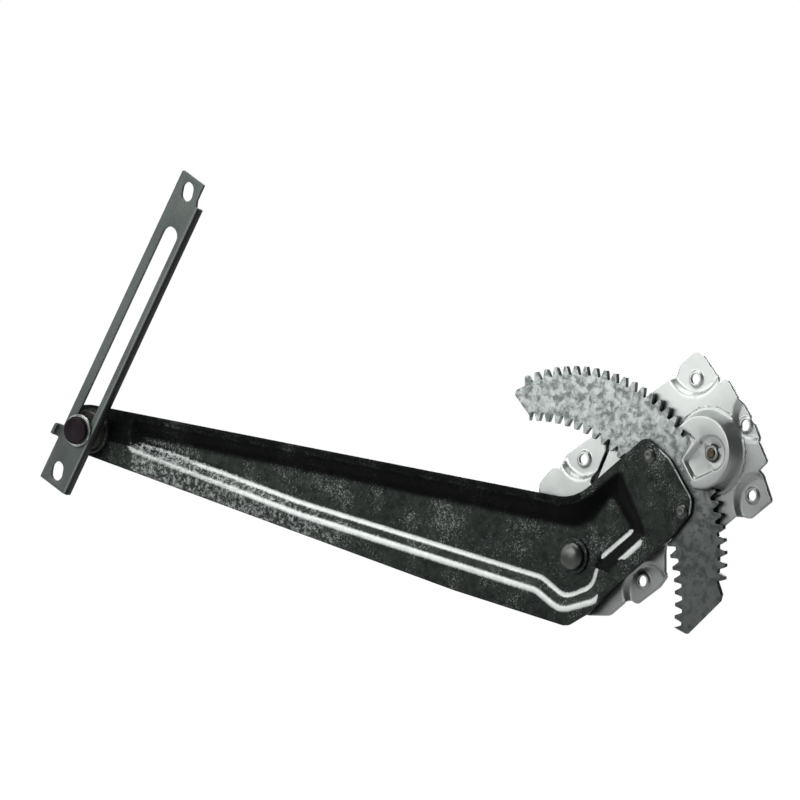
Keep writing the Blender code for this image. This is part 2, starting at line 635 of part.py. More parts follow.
def make_rail():
    """Slotted strip with one edge folded back, short of the upper end, and a bent retaining tab."""
    low, high = -RAIL_LOWER_END, RAIL_LENGTH - RAIL_LOWER_END
    right = RAIL_WIDTH - RAIL_LEFT
    notch = high - NOTCH_LENGTH
    outline = [
        rail_point(*corner)
        for corner in (
            (low, -RAIL_LEFT), (high, -RAIL_LEFT), (high, right - NOTCH_DEPTH),
            (notch + 3.0 * MM, right - NOTCH_DEPTH), (notch, right), (low, right),
        )
    ]
    along = rail_point(1.0, 0.0) - rail_point(0.0, 0.0)
    slot_length = SLOT_REACH + SLOT_WIDTH
    slot = stadium(rail_point(SLOT_REACH / 2, 0.0), along, slot_length, SLOT_WIDTH / 2)
    centre = right - RAIL_WIDTH / 2 - 1.5 * MM
    holes = [
        stadium(rail_point(place, centre), (0.25, 1.0), END_HOLE_LENGTH, END_HOLE_R, 6)
        for place in (low + END_HOLE_INSET, high - END_HOLE_INSET)
    ]
    rail = flat_solid("glass_rail", [outline, slot] + holes, RAIL_BACK, RAIL_FACE)
    fold_inner = right - RAIL_SHEET
    fold = [rail_point(*c) for c in ((low, fold_inner), (notch, fold_inner), (notch, right), (low, right))]
    join(rail, flat_solid("rail_fold", [fold], RAIL_FACE - FLANGE_DEPTH, RAIL_BACK + MM))
    root, end = MM - RAIL_LEFT, -RAIL_LEFT - RAIL_TAB_REACH
    start, stop = RAIL_TAB_SPAN
    tab = [rail_point(*corner) for corner in ((start, root), (start, end), (stop, end), (stop, root))]
    join(rail, flat_solid("rail_tab", [tab], RAIL_BACK, RAIL_FACE - TOUCH))
    inner = end + RAIL_SHEET
    lip = [rail_point(*corner) for corner in ((start, inner), (start, end), (stop, end), (stop, inner))]
    join(rail, flat_solid("rail_tab_lip", [lip], RAIL_FACE - MM, RAIL_FACE + RAIL_TAB_LIP))
    return finish(rail, RAIL_STEEL)


# Drive body: pinion, spindle and the clutch inside the drum -----------------------------------

def make_pinion():
    tip = MODULE * (PINION_TEETH / 2 + 1 + PINION_SHIFT) - 0.2 * MM
    root = MODULE * (PINION_TEETH / 2 - 1.22 + PINION_SHIFT)
    radii = [root + (tip - root) * share for share in (0.0, 0.3, 0.65, 1.0)]
    pitch = math.tau / PINION_TEETH
    start = MESH_ANGLE + math.pi
    angles = [start - k * pitch for k in range(PINION_TEETH)]
    teeth = [tooth(PINION, angle, radii, PINION_TEETH, PINION_SHIFT) for angle in angles]
    outline = [point for one in teeth for point in one]
    bore = circle(PINION, SPINDLE_R + TOUCH, 24)
    low, high = SECTOR_BACK - 0.5 * MM, SECTOR_FACE + 0.6 * MM
    finish(flat_solid("pinion", [outline, bore], low, high), STEEL)


def make_spindle():
    """Crank spindle: peened front end in the dome's recess, splined end behind the door panel."""
    front = DOME_UNDER + 1.6 * MM
    neck = SPINDLE_R - 1.0 * MM
    thick = SPINDLE_R + 1.2 * MM
    step = -HOUSING_DEPTH + 4.0 * MM
    profile = [
        (0.0, front), (neck - 0.6 * MM, front), (neck, front - 0.6 * MM), (neck, SECTOR_FACE + 1.0 * MM),
        (SPINDLE_R, SECTOR_FACE + 1.0 * MM), (SPINDLE_R, step), (thick, step),
        (thick, SPLINE_LENGTH - SPINDLE_REACH), (0.0, SPLINE_LENGTH - SPINDLE_REACH),
    ]
    spindle = turned("drive_spindle", profile, PINION, 24)
    outline = []
    for k in range(2 * SPLINE_TEETH):
        radius = SPLINE_R if k % 2 else SPLINE_R - 0.9 * MM
        angle = math.pi * k / SPLINE_TEETH
        outline.append(PINION + Vector((radius * math.cos(angle), radius * math.sin(angle))))
    inside = SPLINE_LENGTH - SPINDLE_REACH + MM
    join(spindle, flat_solid("spline", [outline], -SPINDLE_REACH, inside))
    low = 3.5 * MM - SPINDLE_REACH
    groove = ring("crank_groove", SPLINE_R + MM, SPLINE_R - 1.4 * MM, low, low + 1.6 * MM, PINION, 24)
    cut(spindle, groove)
    return finish(spindle, STEEL)


def make_clutch():
    """Front bush, core, driver, wrap spring and rear bush on the spindle."""
    neck = SPINDLE_R - 1.0 * MM
    under = DOME_UNDER - RECESS_DEPTH
    bush = [
        (5.2 * MM, DOME_UNDER + 0.9 * MM), (5.2 * MM, DOME_UNDER + TOUCH), (SPINDLE_R, DOME_UNDER + TOUCH),
        (SPINDLE_R, under), (neck + TOUCH, under), (neck + TOUCH, DOME_UNDER + 0.9 * MM),
    ]
    finish(turned("front_bush", bush, PINION, 24, closed=True), GALVANISED)
    inner = SPINDLE_R + TOUCH
    core_top = SECTOR_BACK - 0.8 * MM
    core_low = -2.0 * MM
    spring_r = HOUSING_R - HOUSING_SHEET - SPRING_WIRE_R - TOUCH
    core_r = spring_r - SPRING_WIRE_R - 0.6 * MM
    core = [
        (7.5 * MM, core_top), (7.5 * MM, 0.0), (core_r, 0.0), (core_r, core_low),
        (inner, core_low), (inner, core_top),
    ]
    finish(turned("clutch_core", core, PINION, closed=True), STEEL)
    driver_top = core_low - TOUCH
    driver_low = HOUSING_SHEET - HOUSING_DEPTH + 2.9 * MM
    driver = [
        (core_r, driver_top), (core_r, driver_top - 2.5 * MM), (8.5 * MM, driver_top - 2.5 * MM),
        (8.5 * MM, driver_low), (inner, driver_low), (inner, driver_top),
    ]
    finish(turned("clutch_driver", driver, PINION, closed=True), STEEL)
    make_clutch_spring(spring_r, driver_low - 2.0 * MM, core_low + 1.0 * MM)
    rear_inner = SPINDLE_R + 1.2 * MM + TOUCH
    lip_low = -HOUSING_DEPTH - TOUCH
    rear = ring("spindle_seal", 8.5 * MM, rear_inner, lip_low - 1.2 * MM, lip_low, PINION, 24)
    finish(rear, RUBBER)
    clip_low = lip_low - 3.2 * MM
    clip = ring("thrust_washer", 9.0 * MM, rear_inner, clip_low, clip_low + 1.2 * MM, PINION, 24)
    finish(clip, GALVANISED)


def make_clutch_spring(radius, low, high):
    """Wrap spring that grips the drum's wall unless the crank turns it."""
    curve = bpy.data.curves.new("clutch_spring", "CURVE")
    curve.dimensions = "3D"
    curve.bevel_depth = SPRING_WIRE_R
    curve.bevel_resolution = 1
    curve.use_fill_caps = True
    spline = curve.splines.new("POLY")
    per_turn = 24
    count = SPRING_TURNS * per_turn
    spline.points.add(count)
    for k, point in enumerate(spline.points):
        angle = math.tau * k / per_turn
        height = low + (high - low) * k / count
        point.co = (radius * math.cos(angle), radius * math.sin(angle), height, 1.0)
    obj = bpy.data.objects.new("clutch_spring", curve)
    PARTS.objects.link(obj)
    turn_to_glass(obj, PINION)
    finish(curve_to_mesh(obj), STEEL)


clear_scene()
PARTS = new_collection("window_regulator")
CUTTERS = new_collection("cutters")
ZINC = new_material("bright_zinc", (0.62, 0.64, 0.62), 0.32)
GALVANISED = new_material("spangled_galvanised", (0.46, 0.49, 0.47), 0.42)
DARK_GALVANISED = new_material("dark_galvanised", (0.055, 0.06, 0.055), 0.45)
STEEL = new_material("oiled_steel", (0.20, 0.20, 0.19), 0.38)
BRONZE = new_material("sintered_bronze", (0.36, 0.26, 0.15), 0.5)
RAIL_STEEL = new_material("phosphated_steel", (0.11, 0.13, 0.12), 0.6)
CAP_PLASTIC = new_material("cap_plastic", (0.020, 0.012, 0.018), 0.45, 0.0)
ROLLER_PLASTIC = new_material("roller_nylon", (0.05, 0.045, 0.035), 0.5, 0.0)
RUBBER = new_material("seal_rubber", (0.02, 0.02, 0.02), 0.8, 0.0)

make_base_plate()
make_pivot()
make_clutch_housing()
make_lift_arm()
make_sector()
make_roller_stud()
make_roller()
make_rail()
make_pinion()
make_spindle()
make_clutch()
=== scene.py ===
"""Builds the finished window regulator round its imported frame, with its stage, as a Blender add-on."""

import json
import math

import bmesh
import bpy
import numpy as np
from bpy.props import FloatProperty, FloatVectorProperty, IntProperty, PointerProperty
from mathutils import Matrix, Vector


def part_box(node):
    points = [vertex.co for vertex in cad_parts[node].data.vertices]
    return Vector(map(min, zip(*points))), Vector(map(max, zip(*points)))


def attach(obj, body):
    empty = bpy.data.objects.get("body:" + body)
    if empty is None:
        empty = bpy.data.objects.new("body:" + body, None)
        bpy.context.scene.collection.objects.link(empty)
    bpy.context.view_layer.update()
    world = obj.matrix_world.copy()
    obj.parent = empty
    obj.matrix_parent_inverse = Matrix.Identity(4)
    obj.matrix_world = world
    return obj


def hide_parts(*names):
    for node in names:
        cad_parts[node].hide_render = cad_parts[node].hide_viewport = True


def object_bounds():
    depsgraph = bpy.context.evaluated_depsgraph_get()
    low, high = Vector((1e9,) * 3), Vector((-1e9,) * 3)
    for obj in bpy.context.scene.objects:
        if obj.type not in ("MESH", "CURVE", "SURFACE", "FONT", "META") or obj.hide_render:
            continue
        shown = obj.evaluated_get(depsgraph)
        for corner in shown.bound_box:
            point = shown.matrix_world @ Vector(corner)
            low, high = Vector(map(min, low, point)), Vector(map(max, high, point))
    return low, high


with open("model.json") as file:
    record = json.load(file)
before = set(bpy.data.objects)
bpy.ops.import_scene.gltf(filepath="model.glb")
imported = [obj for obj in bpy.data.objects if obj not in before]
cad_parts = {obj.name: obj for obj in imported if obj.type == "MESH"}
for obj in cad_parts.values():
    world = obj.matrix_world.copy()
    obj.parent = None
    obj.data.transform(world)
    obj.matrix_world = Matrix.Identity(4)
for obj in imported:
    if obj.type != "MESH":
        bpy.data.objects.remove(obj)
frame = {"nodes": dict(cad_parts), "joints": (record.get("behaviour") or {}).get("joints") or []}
CAD_BOX = [list(corner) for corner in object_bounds()]

bl_info = {
    "name": "Window regulator builder",
    "version": (1, 0, 0),
    "blender": (4, 5, 0),
    "location": "View3D > Sidebar > Regulator",
    "description": "Models and finishes a crank-driven window regulator",
    "category": "Object",
}

MM = 0.001


# Places read from the frame --------------------------------------------------------------------

def joint(name):
    return next(j for j in frame["joints"] if j["name"] == name)


def flat(point):
    """The X and Z of a point in the row frame."""
    return Vector((point[0], point[2]))


PIVOT = flat(joint("arm_swing")["pos_m"])
PINION = flat(joint("crank_turn")["pos_m"])
TIP = flat(joint("roller_swivel")["pos_m"])
RAIL_WAY = flat(joint("rail_slide")["axis"]).normalized()
SLOT_REACH = -joint("rail_slide")["range_m"][0]
MESH_WAY = PINION.normalized()
CENTRES = PINION.length


def heights(node):
    """Back and front of a node, measured from the mounting plane towards the glass."""
    low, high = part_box(node)
    return -high.y, -low.y


def radius_of(node):
    low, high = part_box(node)
    return (high.x - low.x) / 2


DOME_TOP = heights("base_plate")[1]
SECTOR_FACE = heights("sector_gear")[1]
ARM_FACE = heights("lift_arm")[1]
RAIL_TAIL, RAIL_FRONT = heights("glass_rail")


# Sizes and colours -----------------------------------------------------------------------------

class RegulatorSizes(bpy.types.PropertyGroup):
    """Sizes of the pressed and turned pieces that the frame does not give."""

    plate_sheet: FloatProperty(
        name="Plate sheet", description="Thickness of the base plate", default=2.0 * MM, unit="LENGTH")
    arm_sheet: FloatProperty(
        name="Arm sheet", description="Thickness of the lift arm", default=2.5 * MM, unit="LENGTH")
    rail_sheet: FloatProperty(
        name="Rail sheet", description="Thickness of the glass rail", default=2.0 * MM, unit="LENGTH")
    tab_joggle: FloatProperty(
        name="Tab joggle", description="Step from the bolt tabs up to the plate", default=3.0 * MM,
        unit="LENGTH")
    trough_depth: FloatProperty(
        name="Trough depth", description="How far the arm's trough is drawn back", default=3.3 * MM,
        unit="LENGTH")
    dome_radius: FloatProperty(
        name="Dome radius", description="Foot of the drawn dome", default=26.5 * MM, unit="LENGTH")
    edge_break: FloatProperty(
        name="Edge break", description="Rounding of sheared and turned edges", default=0.25 * MM,
        unit="LENGTH")
    plate_grid: FloatProperty(
        name="Plate grid", description="Mesh spacing on the base plate", default=1.4 * MM, unit="LENGTH")
    arm_grid: FloatProperty(
        name="Arm grid", description="Mesh spacing on the lift arm", default=1.15 * MM, unit="LENGTH")
    turning_steps: IntProperty(
        name="Turning steps", description="Steps round a turned piece", default=64, min=12)


def colour(name, description, value):
    return FloatVectorProperty(
        name=name, description=description, default=value, subtype="COLOR", min=0.0, max=1.0)


class RegulatorColours(bpy.types.PropertyGroup):
    """Base colours of the finishes."""

    zinc: colour("Zinc", "Bright zinc plating of the base plate", (0.56, 0.585, 0.57))
    spangle_light: colour("Spangle light", "Light crystals of the galvanised sector", (0.46, 0.49, 0.475))
    spangle_dark: colour("Spangle dark", "Dark crystals of the galvanised sector", (0.15, 0.17, 0.163))
    arm_dark: colour("Arm dark", "Dull ground of the lift arm", (0.016, 0.019, 0.017))
    arm_fleck: colour("Arm fleck", "Grey flecks on the lift arm", (0.26, 0.285, 0.27))
    # Colour of the painted highlights along the arm's bends and of its burnished patch.
    bend_highlight_and_wear: colour("Bend highlight and wear", "Burnished lines along the arm's bends", (0.50, 0.525, 0.51))
    rail: colour("Rail", "Matt phosphate coating of the rail", (0.070, 0.084, 0.077))
    steel: colour("Steel", "Machined and oiled steel", (0.10, 0.105, 0.10))
    bronze: colour("Bronze", "Spindle end and pivot bush", (0.085, 0.066, 0.042))
    cap: colour("Cap", "Moulded cap over the roller", (0.005, 0.0022, 0.004))
    nylon: colour("Nylon", "Greased roller", (0.03, 0.028, 0.022))
    rubber: colour("Rubber", "Seal behind the drum", (0.015, 0.015, 0.015))


# Outlines --------------------------------------------------------------------------------------

def mesh_point(along, across=0.0):
    """Point along the pivot-to-pinion line and to its left."""
    return along * MESH_WAY + across * Vector((-MESH_WAY.y, MESH_WAY.x))


def rail_point(along, across):
    """Point from the roller's axis along the rail and across it, towards the folded edge."""
    return TIP + along * RAIL_WAY + across * Vector((RAIL_WAY.y, -RAIL_WAY.x))


def polar(centre, radius, angle):
    return centre + Vector((radius * math.cos(angle), radius * math.sin(angle)))


def circle(centre, radius, steps):
    return [polar(centre, radius, math.tau * k / steps) for k in range(steps)]


def rounded(corners, steps=8):
    """Closed outline with each corner (x, z, radius) eased by a curve."""
    points = []
    for i, (x, z, radius) in enumerate(corners):
        here = Vector((x, z))
        before = Vector(corners[i - 1][:2]) - here
        after = Vector(corners[(i + 1) % len(corners)][:2]) - here
        half = before.angle(after) / 2
        reach = min(radius / math.tan(half), 0.48 * before.length, 0.48 * after.length)
        start = here + before.normalized() * reach
        end = here + after.normalized() * reach
        for k in range(steps + 1):
            t = k / steps
            points.append((1 - t) ** 2 * start + 2 * t * (1 - t) * here + t * t * end)
    return points


def millimetres(corners):
    return [tuple(value * MM for value in corner) for corner in corners]


def stadium(centre, along, length, radius, steps=12):
    """Slot outline with round ends, length being from end to end."""
    across = Vector((-along.y, along.x))
    reach = length / 2 - radius
    points = []
    for side in (1, -1):
        for k in range(steps + 1):
            a = -math.pi / 2 + math.pi * k / steps
            points.append(
                centre + side * (along * (reach + radius * math.cos(a)) + across * radius * math.sin(a)))
    return points


PLATE_CORNERS = [
    (76.5, 112.6, 3.0), (79.6, 120.4, 3.0), (92.5, 129.0, 4.0), (98.0, 126.5, 4.0),
    (112.6, 109.2, 1.5), (119.0, 112.0, 3.0), (137.4, 84.3, 25.0), (150.2, 59.6, 2.5),
    (143.5, 54.2, 1.5), (151.6, 34.8, 2.5), (134.4, 23.6, 4.0), (126.0, 26.0, 5.0),
    (112.0, 16.5, 8.0), (69.4, 13.0, 12.0), (69.4, -12.0, 6.0), (62.5, -19.5, 6.0),
    (44.8, -30.2, 2.5), (39.6, -27.4, 2.0), (25.0, -37.6, 8.0), (8.0, -37.5, 14.0),
    (-30.0, -22.0, 20.0), (-33.5, 22.0, 20.0), (-30.0, 46.5, 5.0), (-19.8, 55.5, 4.0),
    (-13.6, 55.2, 2.0), (-11.4, 63.6, 2.5),
]
# Bolt holes: x, z, offset of the joggled zone's centre, and its radius, in millimetres
TABS = [
    (3.4, 61.2, 0.0, 6.0, 17.0), (92.3, 111.8, 0.0, 11.0, 20.0), (131.7, 82.8, 7.5, 5.5, 14.0),
    (137.0, 38.5, 6.0, -4.5, 17.0), (50.2, -15.6, 4.0, -6.0, 16.0),
]
BOLT_HOLE_R = 3.5 * MM
ARM_ELBOW = (2.5, 35.7, 40.0)
ARM_HEEL = [(30.0, -21.5, 30.0), (14.0, -35.5, 12.0), (-4.5, -44.3, 9.0), (-95.0, -21.6, 80.0)]
TROUGH_RIM = [
    (3.5, 31.5, 44.0), (39.0, 55.0, 5.0), (60.5, 12.5, 5.0), (30.5, -9.0, 8.0),
    (20.5, -28.0, 13.0), (-9.0, -34.5, 18.0), (-28.0, -21.8, 14.0), (-217.6, 25.6, 60.0),
]
TROUGH_FLOOR = [
    (9.0, 18.5, 30.0), (30.0, 41.0, 6.0), (48.5, 17.5, 5.0), (20.5, -1.5, 7.0),
    (14.5, -19.0, 12.0), (-7.0, -26.0, 15.0), (-25.5, -13.4, 12.0), (-220.0, 33.6, 60.0),
]
SECTOR_ROOT_R = CENTRES - 15.56 * MM
PAD = SECTOR_ROOT_R - 13.4 * MM
RIVETS = {
    "upper": mesh_point(PAD - 15.1 * MM, 23.5 * MM),
    "lower": mesh_point(PAD - 10.5 * MM, -19.8 * MM),
}
DOME = mesh_point(CENTRES - 6.5 * MM, 4.5 * MM)
LIP = SECTOR_ROOT_R - 7.4 * MM
LIP_LINE = [
    mesh_point(LIP, -50 * MM), mesh_point(LIP, 7.2 * MM),
    mesh_point(CENTRES - 7.0 * MM, 17.6 * MM), mesh_point(CENTRES - 14.0 * MM, 28.5 * MM),
]
# Recess wall: growth of its outline in millimetres, and share of its depth
RECESS_WALL = [(1.6, 0.0), (1.1, 0.03), (0.7, 0.15), (0.3, 0.4), (-0.2, 0.72), (-0.7, 0.93), (-1.3, 1.0)]


def arm_outline():
    upper = [(TIP.x - 16.0 * MM, TIP.y + 18.4 * MM, 17 * MM), tuple(v * MM for v in ARM_ELBOW)]
    pad = [
        (*mesh_point(PAD - 12.0 * MM, 35.8 * MM), 7 * MM),
        (*mesh_point(PAD - 2.6 * MM, 14.0 * MM), 20 * MM),
        (*mesh_point(PAD, -16.5 * MM), 8 * MM),
        (*mesh_point(PAD - 6.5 * MM, -24.5 * MM), 8 * MM),
        (*mesh_point(PAD - 25.0 * MM, -29.2 * MM), 20 * MM),
    ]
    lower = [(TIP.x - 16.0 * MM, TIP.y - 12.6 * MM, 17 * MM)]
    return rounded(upper + pad + millimetres(ARM_HEEL) + lower, 12)


def trough_loop(corners, tip_reach, upper, lower):
    near_tip = [(TIP.x + tip_reach, TIP.y + side, 6 * MM) for side in (lower, upper)]
    return rounded(near_tip + millimetres(corners), 10)


# Mesh helpers ----------------------------------------------------------------------------------

def stand(point, height=0.0):
    return Vector((point[0], -height, point[1]))


def new_piece(name, bm, material, body, nodes=(), sharp=35):
    """Finishes a bmesh as an object that stands for CAD nodes and rides on a body."""
    mesh = bpy.data.meshes.new(name)
    bm.to_mesh(mesh)
    bm.free()
    piece = bpy.data.objects.new(name, mesh)
    bpy.context.scene.collection.objects.link(piece)
    mesh.materials.append(material)
    mesh.shade_smooth()
    mesh.set_sharp_from_angle(angle=math.radians(sharp))
    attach(piece, body)
    if nodes:
        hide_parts(*nodes)
    return piece


def add_bevel(piece, width, segments=2, angle=35):
    bevel = piece.modifiers.new("Edge break", "BEVEL")
    bevel.width = width
    bevel.segments = segments
    bevel.limit_method = "ANGLE"
    bevel.angle_limit = math.radians(angle)
    bevel.use_clamp_overlap = True
    bevel.harden_normals = False
    return bevel


def loop_edges(bm, points):
    verts = [bm.verts.new(point) for point in points]
    return [bm.edges.new((a, b)) for a, b in zip(verts, verts[1:] + verts[:1])]


def flat_sheet(outlines):
    """Flat face in the door's plane: the first loop is the outside and the others are holes."""
    bm = bmesh.new()
    edges = []
    for outline in outlines:
        edges += loop_edges(bm, [stand(point) for point in outline])
    bmesh.ops.triangle_fill(bm, use_beauty=True, edges=edges)
    return bm


def slice_grid(bm, way, step):
    """Cuts a flat sheet into a grid along a direction and across it."""
    for along in (Vector((way.x, 0.0, way.y)), Vector((-way.y, 0.0, way.x))):
        span = [along.dot(v.co) for v in bm.verts]
        geom = list(bm.verts) + list(bm.edges) + list(bm.faces)
        place = math.floor(min(span) / step) * step + step
        while place < max(span):
            made = bmesh.ops.bisect_plane(bm, geom=geom, dist=2e-5, plane_co=along * place, plane_no=along)
            geom = made["geom"]
            place += step


def slice_patch(bm, centre, way, half_length, half_width, step):
    """Finer cuts in a small patch, along and across a direction."""
    directions = ((Vector((way.x, 0.0, way.y)), half_length), (Vector((-way.y, 0.0, way.x)), half_width))
    for along, reach in directions:
        near = [
            f for f in bm.faces
            if all(abs(d.dot(f.calc_center_median() - stand(centre))) < r + step for d, r in directions)
        ]
        geom = near + list({e for f in near for e in f.edges}) + list({v for f in near for v in f.verts})
        for k in range(int(2 * reach / step) + 1):
            point = stand(centre) + along * (k * step - reach)
            made = bmesh.ops.bisect_plane(bm, geom=geom, dist=2e-5, plane_co=point, plane_no=along)
            geom = made["geom"]


def spun(profile, point, steps):
    """Turns a profile of (radius, height) points round an axis that points to the glass."""
    bm = bmesh.new()
    verts = [bm.verts.new(stand((point[0] + radius, point[1]), height)) for radius, height in profile]
    edges = [bm.edges.new(pair) for pair in zip(verts, verts[1:])]
    bmesh.ops.spin(
        bm, geom=verts + edges, cent=stand(point), axis=(0.0, 1.0, 0.0), dvec=(0.0, 0.0, 0.0),
        angle=math.tau, steps=steps, use_merge=True, use_normal_flip=False, use_duplicate=False)
    bmesh.ops.remove_doubles(bm, verts=bm.verts, dist=1e-6)
    bmesh.ops.recalc_face_normals(bm, faces=bm.faces)
    return bm


def ring_profile(outer, inner, low, high):
    return [(inner, high), (outer, high), (outer, low), (inner, low), (inner, high)]


def welded_copy(node):
    """Copy of a CAD node's mesh with its loose triangles joined and its flats made whole."""
    bm = bmesh.new()
    bm.from_mesh(frame["nodes"][node].data)
    bmesh.ops.remove_doubles(bm, verts=bm.verts, dist=2e-6)
    bmesh.ops.dissolve_limit(bm, angle_limit=math.radians(0.5), verts=bm.verts, edges=bm.edges)
    return bm


def smooth_step(t):
    t = min(1.0, max(0.0, t))
    return t * t * (3.0 - 2.0 * t)


def cut_across(bm, faces, point, way):
    """Cuts some faces by a plane and returns the faces that are left, cut pieces included."""
    geom = list(faces) + list({e for f in faces for e in f.edges}) + list({v for f in faces for v in f.verts})
    made = bmesh.ops.bisect_plane(bm, geom=geom, dist=1e-5, plane_co=point, plane_no=way)
    return [item for item in made["geom"] if isinstance(item, bmesh.types.BMFace)]


def drop_faces(bm, faces):
    bmesh.ops.delete(bm, geom=faces, context="FACES")


def add_sheet(piece, thickness):
    sheet = piece.modifiers.new("Sheet", "SOLIDIFY")
    sheet.thickness = thickness
    sheet.offset = -1.0
    sheet.use_even_offset = False
    return sheet


def draw_on(bm, ring, edges, places):
    """Draws a ring of vertices on to new places and returns the new ring and its edges."""
    made = bmesh.ops.extrude_edge_only(bm, edges=edges)["geom"]
    fresh = {tuple(item.co): item for item in made if isinstance(item, bmesh.types.BMVert)}
    drawn = [fresh[tuple(vert.co)] for vert in ring]
    new = set(drawn)
    new_edges = [item for item in made if isinstance(item, bmesh.types.BMEdge) and set(item.verts) <= new]
    for vert, place in zip(drawn, places):
        vert.co = place
    return drawn, new_edges


def face_glass(bm):
    """Turns an open sheet's faces towards the glass."""
    bmesh.ops.recalc_face_normals(bm, faces=bm.faces)
    if sum(face.normal.y * face.calc_area() for face in bm.faces) > 0:
        bmesh.ops.reverse_faces(bm, faces=bm.faces)


def distances_to(outline, points):
    """Distance from each point to a closed outline, negative inside it."""
    starts = np.array([tuple(point) for point in outline])
    sides = np.roll(starts, -1, axis=0) - starts
    nearest = np.full(len(points), 1.0)
    inside = np.zeros(len(points), dtype=bool)
    for (ax, ay), (ex, ey) in zip(starts, sides):
        dx, dy = points[:, 0] - ax, points[:, 1] - ay
        size = ex * ex + ey * ey
        if size < 1e-14:
            continue
        share = np.clip((dx * ex + dy * ey) / size, 0.0, 1.0)
        nearest = np.minimum(nearest, np.hypot(dx - share * ex, dy - share * ey))
        if ey:
            crosses = (dy >= 0) != (dy >= ey)
            inside ^= crosses & (dx < ex * dy / ey)
    return np.where(inside, -nearest, nearest)


# Shader groups ---------------------------------------------------------------------------------

def start_group(name, inputs, outputs):
    group = bpy.data.node_groups.new(name, "ShaderNodeTree")
    for label, kind, default in inputs:
        socket = group.interface.new_socket(name=label, in_out="INPUT", socket_type=kind)
        if default is not None:
            socket.default_value = default
    for label, kind in outputs:
        group.interface.new_socket(name=label, in_out="OUTPUT", socket_type=kind)
    return group, group.nodes.new("NodeGroupInput"), group.nodes.new("NodeGroupOutput")


def node(tree, kind, settings=None, inputs=None):
    made = tree.nodes.new(kind)
    for key, value in (settings or {}).items():
        setattr(made, key, value)
    for key, value in (inputs or {}).items():
        if isinstance(value, bpy.types.NodeSocket):
            tree.links.new(value, made.inputs[key])
        else:
            made.inputs[key].default_value = value
    return made


def maths(tree, operation, first, second=0.0, clamp=False):
    return node(tree, "ShaderNodeMath", {"operation": operation, "use_clamp": clamp},
        {0: first, 1: second}).outputs[0]


def remap(tree, value, low, high, to_low=0.0, to_high=1.0):
    made = node(tree, "ShaderNodeMapRange", {"interpolation_type": "SMOOTHSTEP"}, {
        "Value": value, "From Min": low, "From Max": high, "To Min": to_low, "To Max": to_high})
    return made.outputs["Result"]


def blend(tree, factor, first, second, mode="MIX"):
    made = node(tree, "ShaderNodeMix", {"data_type": "RGBA", "blend_type": mode})
    for index, value in ((0, factor), (6, first), (7, second)):
        if isinstance(value, bpy.types.NodeSocket):
            tree.links.new(value, made.inputs[index])
        else:
            made.inputs[index].default_value = value
    return made.outputs[2]


def noise(tree, vector, scale, detail=4.0, roughness=0.55, distortion=0.0):
    made = node(tree, "ShaderNodeTexNoise", None, {
        "Vector": vector, "Scale": scale, "Detail": detail, "Roughness": roughness, "Distortion": distortion})
    return made.outputs["Fac"]


def make_spangle_group():
    """Zinc crystals: warped cells, each with its own brightness, broken up by a fine mottle."""
    group, source, sink = start_group(
        "Zinc spangle",
        [("Vector", "NodeSocketVector", None), ("Crystal scale", "NodeSocketFloat", 260.0),
            ("Mottle", "NodeSocketFloat", 0.5)],
        [("Shade", "NodeSocketFloat"), ("Height", "NodeSocketFloat")])
    warp = node(group, "ShaderNodeTexNoise", None, {"Vector": source.outputs["Vector"], "Scale": 190.0,
        "Detail": 3.0})
    push = node(group, "ShaderNodeVectorMath", {"operation": "SCALE"},
        {0: warp.outputs["Color"], "Scale": 0.006})
    place = node(group, "ShaderNodeVectorMath", {"operation": "ADD"},
        {0: source.outputs["Vector"], 1: push.outputs[0]})
    cells = node(group, "ShaderNodeTexVoronoi", None,
        {"Vector": place.outputs[0], "Scale": source.outputs["Crystal scale"]})
    split = node(group, "ShaderNodeSeparateColor", None, {"Color": cells.outputs["Color"]})
    patches = remap(group, noise(group, place.outputs[0], 210.0, 5.0, 0.62), 0.42, 0.62)
    wide = remap(group, noise(group, source.outputs["Vector"], 38.0, 3.0), 0.3, 0.7)
    mottle = maths(group, "MULTIPLY", patches, source.outputs["Mottle"])
    cell = maths(group, "MULTIPLY", split.outputs[0], 0.45)
    shade = maths(group, "ADD", maths(group, "ADD", mottle, cell), maths(group, "MULTIPLY", wide, 0.18),
        clamp=True)
    group.links.new(shade, sink.inputs["Shade"])
    group.links.new(split.outputs[1], sink.inputs["Height"])
    return group


def make_fleck_group():
    """Fine bright flecks that thin out or gather with a slow noise."""
    group, source, sink = start_group(
        "Metal fleck",
        [("Vector", "NodeSocketVector", None), ("Scale", "NodeSocketFloat", 900.0),
            ("Amount", "NodeSocketFloat", 0.5)],
        [("Mask", "NodeSocketFloat")])
    fine = noise(group, source.outputs["Vector"], source.outputs["Scale"], 3.0, 0.7)
    slow = noise(group, source.outputs["Vector"], 55.0, 3.0, 0.5)
    level = maths(group, "ADD", fine, maths(group, "MULTIPLY", maths(group, "SUBTRACT", slow, 0.5), 0.5))
    raised = maths(group, "ADD", level, maths(group, "MULTIPLY", source.outputs["Amount"], 0.24))
    group.links.new(remap(group, raised, 0.60, 0.78), sink.inputs["Mask"])
    return group


